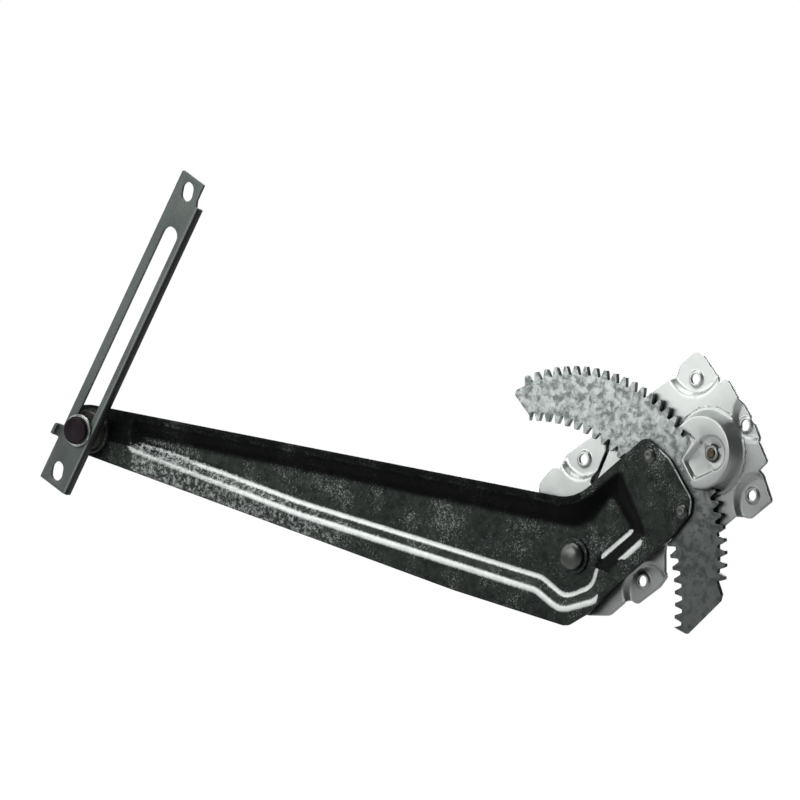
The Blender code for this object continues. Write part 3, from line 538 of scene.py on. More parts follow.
def make_wear_and_shade_group():
    """Bright rub along convex edges, and painted shade in the hollows, which ambient occlusion darkens."""
    group, source, sink = start_group(
        "Edge wear and hollow shade",
        [("Vector", "NodeSocketVector", None), ("Radius", "NodeSocketFloat", 0.0006),
            ("Grime reach", "NodeSocketFloat", 0.006)],
        [("Edge", "NodeSocketFloat"), ("Grime", "NodeSocketFloat")])
    geometry = node(group, "ShaderNodeNewGeometry")
    softened = node(group, "ShaderNodeBevel", {"samples": 4}, {"Radius": source.outputs["Radius"]})
    dot = node(group, "ShaderNodeVectorMath", {"operation": "DOT_PRODUCT"},
        {0: softened.outputs[0], 1: geometry.outputs["Normal"]})
    edge = remap(group, dot.outputs["Value"], 0.985, 0.80)
    breakup = remap(group, noise(group, source.outputs["Vector"], 420.0, 3.0), 0.38, 0.60)
    # Painted shade: the hollows' occlusion becomes a darkening mask for the colour.
    hollow = node(group, "ShaderNodeAmbientOcclusion", {"samples": 8, "only_local": False},
        {"Distance": source.outputs["Grime reach"]})
    hollow_shade = remap(group, hollow.outputs["AO"], 0.95, 0.35)
    group.links.new(maths(group, "MULTIPLY", edge, breakup), sink.inputs["Edge"])
    group.links.new(hollow_shade, sink.inputs["Grime"])
    return group


def make_grain_group():
    """Rolling grain and small handling marks as a height, and the grain's streaks as a mask."""
    group, source, sink = start_group(
        "Sheet grain",
        [("Vector", "NodeSocketVector", None), ("Turn", "NodeSocketFloat", 0.0),
            ("Scale", "NodeSocketFloat", 90.0)],
        [("Height", "NodeSocketFloat"), ("Streak", "NodeSocketFloat")])
    turn = node(group, "ShaderNodeVectorRotate", {"rotation_type": "Y_AXIS"},
        {"Vector": source.outputs["Vector"], "Angle": source.outputs["Turn"]})
    stretch = node(group, "ShaderNodeMapping", None, {"Vector": turn.outputs[0], "Scale": (1.0, 8.0, 12.0)})
    streak = noise(group, stretch.outputs[0], source.outputs["Scale"], 5.0, 0.6)
    soft = noise(group, source.outputs["Vector"], 30.0, 2.0)
    marks = node(group, "ShaderNodeTexVoronoi", {"feature": "DISTANCE_TO_EDGE"},
        {"Vector": stretch.outputs[0], "Scale": 40.0})
    scratch = remap(group, marks.outputs["Distance"], 0.012, 0.0)
    height = maths(group, "ADD", maths(group, "MULTIPLY", streak, 0.5), maths(group, "MULTIPLY", soft, 0.8))
    group.links.new(maths(group, "SUBTRACT", height, maths(group, "MULTIPLY", scratch, 0.2)),
        sink.inputs["Height"])
    group.links.new(streak, sink.inputs["Streak"])
    return group


# Materials -------------------------------------------------------------------------------------

GROUPS = {}
MATERIALS = {}


def use_group(tree, name, **values):
    made = tree.nodes.new("ShaderNodeGroup")
    made.node_tree = GROUPS[name]
    for key, value in values.items():
        label = key.replace("_", " ")
        if isinstance(value, bpy.types.NodeSocket):
            tree.links.new(value, made.inputs[label])
        else:
            made.inputs[label].default_value = value
    return made.outputs


def start_material(name, metallic, roughness):
    material = bpy.data.materials.new(name)
    material.use_nodes = True
    tree = material.node_tree
    shader = tree.nodes["Principled BSDF"]
    shader.inputs["Metallic"].default_value = metallic
    shader.inputs["Roughness"].default_value = roughness
    MATERIALS[name] = material
    place = tree.nodes.new("ShaderNodeTexCoord").outputs["Object"]
    return tree, shader, place


def rgba(value, gain=1.0):
    return (value[0] * gain, value[1] * gain, value[2] * gain, 1.0)


def set_surface(tree, shader, base, roughness=None, height=None, strength=0.2, distance=0.0002):
    tree.links.new(base, shader.inputs["Base Color"])
    if roughness is not None:
        tree.links.new(roughness, shader.inputs["Roughness"])
    if height is not None:
        bump = node(tree, "ShaderNodeBump", None, {"Height": height, "Strength": strength,
            "Distance": distance})
        tree.links.new(bump.outputs[0], shader.inputs["Normal"])


def low_end(tree, place, clean, dull):
    """Mask that darkens the colour towards the lower right, between two heights."""
    split = node(tree, "ShaderNodeSeparateXYZ", None, {"Vector": place})
    slow = noise(tree, place, 22.0, 3.0)
    level = maths(tree, "SUBTRACT", split.outputs["Z"], maths(tree, "MULTIPLY", split.outputs["X"], 0.35))
    ragged = maths(tree, "ADD", level, maths(tree, "MULTIPLY", maths(tree, "SUBTRACT", slow, 0.5), 0.05))
    return remap(tree, ragged, clean, dull)


def make_zinc(colours):
    """Bright zinc over pressed sheet: satin, with faint streaks, painted shade in the hollows and a painted
    shadow in the long groove.
    """
    tree, shader, place = start_material("bright zinc", 1.0, 0.3)
    grain = use_group(tree, "Sheet grain", Vector=place, Turn=math.radians(-30), Scale=70.0)
    wear_and_shade = use_group(tree, "Edge wear and hollow shade", Vector=place, Grime_reach=0.004)
    cloud = remap(tree, noise(tree, place, 26.0, 3.0), 0.30, 0.72)
    tone = blend(tree, cloud, rgba(colours.zinc, 0.86), rgba(colours.zinc, 1.10))
    tone = blend(tree, maths(tree, "MULTIPLY", grain["Streak"], 0.25), tone, rgba(colours.zinc, 0.70))
    # Painted shade: hollows darkened by their occlusion.
    tone = blend(tree, maths(tree, "MULTIPLY", wear_and_shade["Grime"], 0.55), tone, (0.05, 0.055, 0.05, 1.0))
    tone = blend(tree, maths(tree, "MULTIPLY", wear_and_shade["Edge"], 0.5), tone, (0.86, 0.88, 0.87, 1.0))
    # Painted shadow: the long groove beside the arm is coloured near black.
    shade_mask = node(tree, "ShaderNodeAttribute", {"attribute_name": "painted_shade"}).outputs["Fac"]
    tone = blend(tree, maths(tree, "MULTIPLY", shade_mask, 0.97), tone, (0.004, 0.004, 0.004, 1.0))
    tone = blend(tree, maths(tree, "MULTIPLY", low_end(tree, place, 0.075, -0.02), 0.62), tone,
        (0.10, 0.105, 0.10, 1.0))
    rough = remap(tree, cloud, 0.0, 1.0, 0.36, 0.44)
    set_surface(tree, shader, tone, rough, grain["Height"], 0.12, 0.0003)


def make_spangled(colours):
    """Hot-dip galvanised sheet with mottled grey crystals."""
    tree, shader, place = start_material("spangled galvanised", 1.0, 0.42)
    spangle = use_group(tree, "Zinc spangle", Vector=place, Crystal_scale=330.0, Mottle=0.62)
    wear_and_shade = use_group(tree, "Edge wear and hollow shade", Vector=place, Radius=0.0004)
    tone = blend(tree, spangle["Shade"], rgba(colours.spangle_light), rgba(colours.spangle_dark))
    dull = low_end(tree, place, 0.062, -0.025)
    tone = blend(tree, maths(tree, "MULTIPLY", dull, 0.80), tone, (0.030, 0.034, 0.031, 1.0))
    # Painted shade: hollows darkened by their occlusion.
    tone = blend(tree, maths(tree, "MULTIPLY", wear_and_shade["Grime"], 0.18), tone, (0.03, 0.033, 0.03, 1.0))
    tone = blend(tree, maths(tree, "MULTIPLY", wear_and_shade["Edge"], 0.30), tone, (0.55, 0.58, 0.56, 1.0))
    rough = remap(tree, spangle["Shade"], 0.0, 1.0, 0.40, 0.54)
    set_surface(tree, shader, tone, rough, spangle["Height"], 0.10, 0.0002)


def make_dark_galvanised(colours, name, with_bends):
    """Dull dark galvanised sheet with fine flecks and, on the arm, painted highlights along the bends, a
    burnished patch and painted shade in the upper wall.
    """
    tree, shader, place = start_material(name, 1.0, 0.46)
    split = node(tree, "ShaderNodeSeparateXYZ", None, {"Vector": place})
    near_tip = remap(tree, split.outputs["X"], -0.20, -0.36)
    amount = maths(tree, "ADD", 0.12, maths(tree, "MULTIPLY", near_tip, 0.06))
    fleck = use_group(tree, "Metal fleck", Vector=place, Scale=1000.0, Amount=amount)
    coarse = use_group(tree, "Metal fleck", Vector=place, Scale=420.0, Amount=0.1)
    spangle = use_group(tree, "Zinc spangle", Vector=place, Crystal_scale=240.0, Mottle=0.5)
    grain = use_group(tree, "Sheet grain", Vector=place, Turn=math.radians(12), Scale=60.0)
    wear_and_shade = use_group(tree, "Edge wear and hollow shade", Vector=place, Radius=0.0005)
    tone = blend(tree, spangle["Shade"], rgba(colours.arm_dark, 1.9), rgba(colours.arm_dark, 0.8))
    tone = blend(tree, maths(tree, "MULTIPLY", coarse["Mask"], 0.35), tone, rgba(colours.arm_fleck, 0.6))
    tone = blend(tree, maths(tree, "MULTIPLY", fleck["Mask"], 0.75), tone, rgba(colours.arm_fleck))
    tone = blend(tree, maths(tree, "MULTIPLY", wear_and_shade["Edge"], 0.75), tone, (0.50, 0.53, 0.51, 1.0))
    rough = remap(tree, fleck["Mask"], 0.0, 1.0, 0.48, 0.36)
    if with_bends:
        normal = node(tree, "ShaderNodeTexCoord").outputs["Normal"]
        facing = node(tree, "ShaderNodeSeparateXYZ", None, {"Vector": normal})
        # The painted highlights, the burnished patch and the painted shade only go on faces turned towards
        # the glass.
        front = remap(tree, facing.outputs["Y"], 0.0, -0.3)
        highlight_mask, patch, shade_mask = (
            maths(tree, "MULTIPLY", front, node(tree, "ShaderNodeAttribute",
                {"attribute_name": name}).outputs["Fac"])
            for name in ("painted_highlight", "burnished", "unlit"))
        # Painted shade: the upper wall and the step before the pad coloured near black.
        tone = blend(tree, maths(tree, "MULTIPLY", shade_mask, 0.93), tone, (0.0015, 0.0018, 0.0016, 1.0))
        mottle = maths(tree, "MULTIPLY", noise(tree, place, 330.0, 5.0, 0.78, 0.4), 1.15)
        broken = remap(tree, maths(tree, "ADD", maths(tree, "MULTIPLY", patch, 0.55), mottle), 0.92, 1.16)
        broken = maths(tree, "MULTIPLY", broken, remap(tree, patch, 0.05, 0.35))
        tone = blend(tree, maths(tree, "MULTIPLY", broken, 0.85), tone, rgba(colours.bend_highlight_and_wear, 0.70))
        # Painted highlight: bright lines along the bends and the pad's edge, in the bend colour.
        torn = maths(tree, "MULTIPLY", noise(tree, place, 620.0, 4.0, 0.65), 0.55)
        ragged = remap(tree, maths(tree, "ADD", highlight_mask, torn), 0.55, 1.12)
        streaky = blend(tree, noise(tree, place, 300.0, 3.0), rgba(colours.bend_highlight_and_wear, 0.75),
            rgba(colours.bend_highlight_and_wear, 1.2))
        tone = blend(tree, ragged, tone, streaky)
    set_surface(tree, shader, tone, rough, grain["Height"], 0.16, 0.0003)


def make_rail_steel(colours):
    """Matt grey-green phosphate: a fine crystalline tooth, rubbed brighter at its edges, with a painted
    highlight along the fold, painted shade on the folded flange and in the hollows.
    """
    tree, shader, place = start_material("phosphated steel", 0.55, 0.62)
    fine = noise(tree, place, 1500.0, 3.0, 0.7)
    slow = remap(tree, noise(tree, place, 24.0, 3.0), 0.3, 0.7)
    wear_and_shade = use_group(tree, "Edge wear and hollow shade", Vector=place, Radius=0.0005)
    tone = blend(tree, slow, rgba(colours.rail, 0.82), rgba(colours.rail, 1.22))
    tone = blend(tree, maths(tree, "MULTIPLY", fine, 0.45), tone, rgba(colours.rail, 0.55))
    tone = blend(tree, maths(tree, "MULTIPLY", wear_and_shade["Edge"], 0.6), tone, (0.36, 0.40, 0.36, 1.0))
    # Painted shade: hollows darkened by their occlusion.
    tone = blend(tree, maths(tree, "MULTIPLY", wear_and_shade["Grime"], 0.6), tone, (0.012, 0.013, 0.012, 1.0))
    # Painted highlight: a bright band where the fold starts to turn.
    highlight_mask = node(tree, "ShaderNodeAttribute", {"attribute_name": "painted_highlight"}).outputs["Fac"]
    tone = blend(tree, maths(tree, "MULTIPLY", highlight_mask, 0.40), tone, (0.26, 0.29, 0.27, 1.0))
    # Painted shade: the folded flange is coloured near black.
    shade_mask = node(tree, "ShaderNodeAttribute", {"attribute_name": "painted_shade"}).outputs["Fac"]
    tone = blend(tree, maths(tree, "MULTIPLY", shade_mask, 0.88), tone, (0.004, 0.005, 0.004, 1.0))
    rough = remap(tree, fine, 0.3, 0.7, 0.52, 0.68)
    set_surface(tree, shader, tone, rough, fine, 0.18, 0.0001)


def make_turned(name, tint, roughness):
    """Machined metal with fine turning rings and painted shade in its corners."""
    tree, shader, place = start_material(name, 1.0, roughness)
    fine = noise(tree, place, 800.0, 4.0, 0.6)
    stain = remap(tree, noise(tree, place, 120.0, 3.0), 0.35, 0.70)
    wear_and_shade = use_group(tree, "Edge wear and hollow shade", Vector=place, Radius=0.0005, Grime_reach=0.003)
    tone = blend(tree, stain, rgba(tint, 0.75), rgba(tint, 1.25))
    tone = blend(tree, maths(tree, "MULTIPLY", wear_and_shade["Edge"], 0.7), tone,
        rgba([min(1.0, 2.6 * c) for c in tint]))
    # Painted shade: corners darkened by their occlusion.
    tone = blend(tree, maths(tree, "MULTIPLY", wear_and_shade["Grime"], 0.6), tone, (0.01, 0.01, 0.009, 1.0))
    rough = remap(tree, fine, 0.3, 0.7, roughness - 0.08, roughness + 0.10)
    set_surface(tree, shader, tone, rough, fine, 0.10, 0.0001)


def make_moulded(name, tint, roughness):
    """Moulded plastic or rubber: fine texture, dust and lighter rubbed edges."""
    tree, shader, place = start_material(name, 0.0, roughness)
    fine = noise(tree, place, 1100.0, 3.0, 0.6)
    dust = remap(tree, noise(tree, place, 90.0, 4.0), 0.50, 0.80)
    wear_and_shade = use_group(tree, "Edge wear and hollow shade", Vector=place, Radius=0.0004)
    shader.inputs["Specular IOR Level"].default_value = 0.12
    tone = blend(tree, maths(tree, "MULTIPLY", dust, 0.12), rgba(tint), (0.10, 0.09, 0.09, 1.0))
    tone = blend(tree, maths(tree, "MULTIPLY", wear_and_shade["Edge"], 0.4), tone,
        rgba([min(1.0, 3.0 * c + 0.02) for c in tint]))
    rough = remap(tree, fine, 0.3, 0.7, roughness - 0.06, roughness + 0.10)
    set_surface(tree, shader, tone, rough, fine, 0.15, 0.0001)


def make_finishes(colours):
    for name, maker in (
            ("Zinc spangle", make_spangle_group), ("Metal fleck", make_fleck_group),
            ("Edge wear and hollow shade", make_wear_and_shade_group), ("Sheet grain", make_grain_group)):
        GROUPS[name] = maker()
    make_zinc(colours)
    make_spangled(colours)
    make_dark_galvanised(colours, "dark galvanised arm", True)
    make_dark_galvanised(colours, "dark galvanised collar", False)
    make_rail_steel(colours)
    make_turned("machined steel", colours.steel, 0.36)
    make_turned("spindle bronze", colours.bronze, 0.40)
    make_turned("bush bronze", colours.bronze, 0.50)
    make_moulded("cap plastic", colours.cap, 0.62)
    make_moulded("greased nylon", colours.nylon, 0.42)
    make_moulded("seal rubber", colours.rubber, 0.75)


# Base plate ------------------------------------------------------------------------------------

def plate_height(point, sizes):
    """Front of the plate away from the dome: tabs low, the middle raised, beads and dishes."""
    raised = 1.0
    for x, z, dx, dz, zone_r in TABS:
        zone = Vector((x + dx, z + dz)) * MM
        gap = (point - zone).length - zone_r * MM
        raised = min(raised, smooth_step((gap + 1.2 * MM) / (3.6 * MM)))
    height = sizes.plate_sheet + sizes.tab_joggle * raised
    bead_start, bead_end = Vector((25.5, 72.5)) * MM, Vector((12.5, 47.0)) * MM
    bead = bead_end - bead_start
    share = min(1.0, max(0.0, (point - bead_start).dot(bead) / bead.length_squared))
    gap = (point - bead_start - share * bead).length
    height -= 2.0 * MM * (1.0 - smooth_step((gap - 1.3 * MM) / (1.2 * MM)))
    ripple = math.sin(point.x * 72 + point.y * 35) * math.sin(point.y * 54 - point.x * 22)
    return height + 0.06 * MM * ripple


def dome_share(point, sizes):
    """How far a point is up the dome: 0 on the plate, 1 on the dome's top."""
    gap = (point - DOME).length
    return 1.0 - smooth_step((gap - sizes.dome_radius + 4.0 * MM) / (4.6 * MM))


def sheet_height(point, sizes):
    base = plate_height(point, sizes)
    return base + (DOME_TOP - base) * dome_share(point, sizes)


def recess_outline(grow):
    """Teardrop round the pinion's axis, with its blunt end towards the sector."""
    radius = 11.0 * MM + grow
    end = CENTRES - 19.5 * MM - grow
    low = mesh_point(end + 0.2 * MM, -7.5 * MM - grow)
    high = mesh_point(end - 0.4 * MM, 6.0 * MM + grow)
    heading = math.atan2(MESH_WAY.y, MESH_WAY.x)
    sweep = math.radians(112)
    arc = [polar(PINION, radius, heading + sweep * (k / 14 - 1)) for k in range(29)]
    soft = 3.5 * MM
    corners = [(*arc[-1], MM), (*high, soft), (*low, soft), (*arc[0], MM)]
    return arc[1:-1] + rounded(corners, 6)


def ray_to(outline, start, angle):
    """Where a ray from inside an outline meets it."""
    way = Vector((math.cos(angle), math.sin(angle)))
    reach = 0.0
    for a, b in zip(outline, outline[1:] + outline[:1]):
        side = b - a
        cross = way.x * side.y - way.y * side.x
        if abs(cross) > 1e-12:
            gap = a - start
            distance = (gap.x * side.y - gap.y * side.x) / cross
            share = (gap.x * way.y - gap.y * way.x) / cross
            if distance > 0 and -1e-6 <= share <= 1.000001:
                reach = max(reach, distance)
    return start + way * reach


def beyond_lip(point):
    """Whether a point lies outside the dome's sheared lip, on the pivot's side of it."""
    lip, corner, notch, end = LIP_LINE
    if (point - DOME).dot(Vector((-MESH_WAY.y, MESH_WAY.x))) < (corner - DOME).dot(Vector((-MESH_WAY.y,
            MESH_WAY.x))):
        return point.dot(MESH_WAY) < lip.dot(MESH_WAY)
    sides = ((corner, notch), (notch, end))
    return all((b - a).cross(point - a) > 0 for a, b in sides)


def dome_loops(sizes, steps):
    """Rings from the dome's foot over its shoulder, down the recess and to the shaft's hole."""
    loops = []
    foot = sizes.dome_radius + 2.0 * MM
    for k in range(15):
        radius = foot - (foot - 20.6 * MM) * k / 14
        loops.append([polar(DOME, radius, math.tau * i / steps) for i in range(steps)])
    rings = [[(p, sheet_height(p, sizes)) for p in loop] for loop in loops]
    recess = 2.0 * MM
    spokes = [polar(DOME, 20.6 * MM, math.tau * i / steps) - PINION for i in range(steps)]
    angles = [math.atan2(way.y, way.x) for way in spokes]
    for grow, drop in RECESS_WALL:
        outline = recess_outline(grow * MM)
        rings.append([(ray_to(outline, PINION, angle), DOME_TOP - recess * drop) for angle in angles])
    hole = radius_of("front_bush") - 0.9 * MM
    rings.append([(polar(PINION, hole, angle), DOME_TOP - recess) for angle in angles])
    return rings


class REGULATOR_OT_base_plate(bpy.types.Operator):
    """Press the base plate: outline, joggled tabs, beads, dome with its recess, and collars"""

    bl_idname = "regulator.base_plate"
    bl_label = "Base plate"

    def execute(self, context):
        sizes = context.scene.regulator_sizes
        steps = 96
        foot = sizes.dome_radius + 2.0 * MM
        holes = [circle(Vector((x, z)) * MM, BOLT_HOLE_R, 32) for x, z, *_ in TABS]
        holes.append(circle(PIVOT, 6.3 * MM, 32))
        bm = flat_sheet([rounded(millimetres(PLATE_CORNERS)), circle(DOME, foot, steps)] + holes)
        slice_grid(bm, MESH_WAY, sizes.plate_grid)
        bead_way = Vector((25.5 - 12.5, 72.5 - 47.0)).normalized()
        slice_patch(bm, Vector((19.0, 59.8)) * MM, bead_way, 17 * MM, 5 * MM, 0.5 * MM)
        for x, z, *_ in TABS:
            slice_patch(bm, Vector((x, z)) * MM, MESH_WAY, 6.4 * MM, 6.4 * MM, 0.6 * MM)
        painted_shade = bm.verts.layers.float.new("painted_shade")
        for vert in bm.verts:
            point = flat(vert.co)
            height = plate_height(point, sizes)
            # Painted shadow mask for the long groove.
            vert[painted_shade] = self.shade_mask(point)
            for x, z, *_ in TABS:
                gap = (point - Vector((x, z)) * MM).length
                height += 1.5 * MM * (1.0 - smooth_step((gap - 4.2 * MM) / (1.8 * MM)))
            vert.co.y = -height
        rings = [[stand(point, height) for point, height in ring] for ring in dome_loops(sizes, steps)]
        ring_edges = loop_edges(bm, rings[0])
        ring = [edge.verts[0] for edge in ring_edges]
        for places in rings[1:]:
            ring, ring_edges = draw_on(bm, ring, ring_edges, places)
        bmesh.ops.remove_doubles(bm, verts=bm.verts, dist=4e-5)
        self.open_mouth(bm, sizes)
        face_glass(bm)
        piece = new_piece(
            "base_plate_pressing", bm, MATERIALS["bright zinc"], "base", ["base_plate"], 38)
        add_sheet(piece, sizes.plate_sheet)
        return {"FINISHED"}

    def shade_mask(self, point):
        """Painted shadow along the long groove beside the arm."""
        start, end = Vector((25.5, 72.5)) * MM, Vector((12.5, 47.0)) * MM
        groove = end - start
        share = min(1.0, max(0.0, (point - start).dot(groove) / groove.length_squared))
        gap = (point - start - share * groove).length
        return 1.0 - smooth_step((gap - 1.5 * MM) / (1.2 * MM))

    def open_mouth(self, bm, sizes):
        """Shears the dome open towards the pivot and where the sector's teeth pass."""
        under = DOME_TOP - sizes.plate_sheet
        front = sizes.plate_sheet + sizes.tab_joggle
        foot = sizes.dome_radius + 2.5 * MM
        drawn = [f for f in bm.faces if (flat(f.calc_center_median()) - DOME).length < foot]
        for start, end in zip(LIP_LINE, LIP_LINE[1:]):
            side = end - start
            drawn = cut_across(bm, drawn, stand(start), stand((-side.y, side.x)).normalized())
        drawn = cut_across(bm, drawn, stand(PIVOT, under), (0.0, 1.0, 0.0))
        drawn = cut_across(bm, drawn, stand(PIVOT, front + 0.4 * MM), (0.0, 1.0, 0.0))
        for side in (1, -1):
            share = CENTRES - 8.0 * MM
            spread = math.radians(11.5) * side
            way = mesh_point(math.cos(spread), math.sin(spread))
            drawn = cut_across(bm, drawn, stand(way * share), stand(way))
        gone = []
        for face in drawn:
            centre = face.calc_center_median()
            place = flat(centre)
            walled = front + 0.4 * MM < -centre.y < under and (place - DOME).length > 20.7 * MM
            if beyond_lip(place) or (walled and place.length < CENTRES - 8.0 * MM):
                gone.append(face)
        drop_faces(bm, gone)
        around = [f for f in bm.faces if -f.calc_center_median().y < front + 1.4 * MM]
        low, high = 4.5 * MM - sizes.dome_radius + 2 * MM, 4.5 * MM + sizes.dome_radius - 2 * MM
        for along in (LIP - 8 * MM, LIP + 7 * MM):
            around = cut_across(bm, around, stand(mesh_point(along)), stand(MESH_WAY))
        side_way = Vector((-MESH_WAY.y, MESH_WAY.x))
        for across in (low, high):
            around = cut_across(bm, around, stand(mesh_point(LIP, across)), stand(side_way))
        gone = []
        for face in around:
            centre = flat(face.calc_center_median())
            along, across = centre.dot(MESH_WAY), centre.dot(side_way)
            if LIP - 8 * MM < along < LIP + 7 * MM and low < across < high:
                gone.append(face)
        drop_faces(bm, gone)


# Lift arm --------------------------------------------------------------------------------------

class REGULATOR_OT_lift_arm(bpy.types.Operator):
    """Press the lift arm: outline, drawn trough with its bulge round the pivot, and end pad"""

    bl_idname = "regulator.lift_arm"
    bl_label = "Lift arm"

    def execute(self, context):
        sizes = context.scene.regulator_sizes
        holes = [circle(PIVOT, 7.8 * MM, 40), circle(TIP, 4.3 * MM, 32)]
        holes += [circle(place, 2.8 * MM, 24) for place in RIVETS.values()]
        bm = flat_sheet([arm_outline()] + holes)
        slice_grid(bm, TIP.normalized(), sizes.arm_grid)
        bmesh.ops.remove_doubles(bm, verts=bm.verts, dist=6e-5)
        painted_highlight = bm.verts.layers.float.new("painted_highlight")
        burnished = bm.verts.layers.float.new("burnished")
        unlit = bm.verts.layers.float.new("unlit")
        places = np.array([(vert.co.x, vert.co.z) for vert in bm.verts])
        rims = distances_to(trough_loop(TROUGH_RIM, 29.0 * MM, 7.8 * MM, -12.0 * MM), places)
        floors = distances_to(trough_loop(TROUGH_FLOOR, 38.0 * MM, -2.5 * MM, -8.0 * MM), places)
        edges = distances_to(arm_outline(), places)
        for vert, rim, floor, edge in zip(bm.verts, rims, floors, edges):
            point = flat(vert.co)
            vert.co.y = self.drawn_back(rim, floor) * sizes.trough_depth - ARM_FACE
            # Painted highlight mask along the bends and the pad's edge.
            vert[painted_highlight] = max(self.bend_highlight(point, rim, floor), self.edge_highlight(point, edge))
            vert[burnished] = self.burnish(point, floor)
            vert[unlit] = self.shadow(point, rim, floor)
        face_glass(bm)
        piece = new_piece(
            "lift_arm_pressing", bm, MATERIALS["dark galvanised arm"], "arm", ["lift_arm"])
        add_sheet(piece, sizes.arm_sheet)
        return {"FINISHED"}

    def drawn_back(self, rim, floor):
        """Share of the trough's depth at a point, with a small radius at both bends of the wall."""
        width = abs(rim) + abs(floor)
        eased = 0.8 * MM
        share = (floor + eased) / (width + 2 * eased)
        if rim > eased:
            share = 1.0
        if floor < -eased:
            share = 0.0
        return 1.0 - smooth_step(share)

    def below_axis(self, point):
        """How far a point is below the line from the tip to the pivot's underside."""
        return (0.0 - point.x * 0.205 - 4.0 * MM) - point.y

    def bend_highlight(self, point, rim, floor):
        """Painted highlights along the two bends of the lower wall, and on two strips short of the pad."""
        line_floor = math.exp(-((floor / (1.8 * MM)) ** 2))
        line_rim = math.exp(-((rim / (2.3 * MM)) ** 2))
        strips = 22 * MM < point.x < 56 * MM and -2 * MM < point.y < 17 * MM
        lower = self.below_axis(point) > 0 and point.x < 21 * MM
        if not (strips or lower):
            return 0.0
        away = 0.62 + 0.38 * smooth_step((point.x + 350 * MM) / (200 * MM))
        return max(line_floor, line_rim) * away

    def edge_highlight(self, point, edge):
        """Painted highlight on the sheared edge of the end pad, where it faces the pinion."""
        facing = smooth_step((point.dot(MESH_WAY) - PAD + 9.0 * MM) / (4.0 * MM))
        return 0.85 * facing * math.exp(-((edge / (0.7 * MM)) ** 2))

    def shadow(self, point, rim, floor):
        """Painted shade in the upper wall and in the step before the pad, which get no painted highlight."""
        upper = self.below_axis(point) < 0 and point.x < 56 * MM
        pad_step = point.x > 30 * MM and point.y > 12 * MM
        if not (upper or pad_step):
            return 0.0
        open_side = upper and point.x < 8 * MM
        inside = 0.9 if open_side and rim > 0 else smooth_step((1.5 * MM - rim) / (3.0 * MM))
        return inside * (1.0 - smooth_step((-floor - 0.5 * MM) / (4.0 * MM)))

    def burnish(self, point, floor):
        """Mottled worn band between the lower wall's inner bend and the edge, near the roller."""
        along_arm = (
            smooth_step((-110 * MM - point.x) / (110 * MM))
            * smooth_step((point.x + 360 * MM) / (6 * MM)))
        below = smooth_step((self.below_axis(point) + 7.0 * MM) / (5.0 * MM))
        at_bend = math.exp(-((floor / (3.0 * MM)) ** 2))
        lower_wall = 0.72 if floor > 0 else 0.0
        return along_arm * below * max(at_bend, lower_wall)


# Sector, rivets and pinion ---------------------------------------------------------------------

def softened(name, node_name, material, body, slot, width, segments=2):
    """A welded copy of a CAD node with its edges broken."""
    piece = new_piece(name, welded_copy(node_name), MATERIALS[material], body, [node_name])
    add_bevel(piece, width, segments)
    return piece


class REGULATOR_OT_sector(bpy.types.Operator):
    """Stamp the toothed sector, and head the two rivets that hold it to the arm's pad"""

    bl_idname = "regulator.sector"
    bl_label = "Sector and rivets"

    def execute(self, context):
        sizes = context.scene.regulator_sizes
        softened("sector_stamping", "sector_gear", "spangled galvanised", "arm", "spangled_galvanised",
            sizes.edge_break)
        for side, place in RIVETS.items():
            low, high = heights(f"sector_rivet_{side}")
            head = radius_of(f"sector_rivet_{side}")
            seat = ARM_FACE + 0.3 * MM
            profile = [
                (0.0, high - 0.25 * MM), (1.2 * MM, high - 0.2 * MM), (1.9 * MM, high),
                    (2.7 * MM, high - 0.1 * MM),
                (head - 0.5 * MM, seat + 0.9 * MM), (head, seat + 0.35 * MM), (head - 0.15 * MM, seat),
                (2.5 * MM, seat), (2.5 * MM, low + 0.2 * MM), (2.3 * MM, low), (0.0, low),
            ]
            bm = spun(profile, place, sizes.turning_steps)
            new_piece(f"rivet_{side}", bm, MATERIALS["machined steel"], "arm",
                [f"sector_rivet_{side}"], 50)
        return {"FINISHED"}


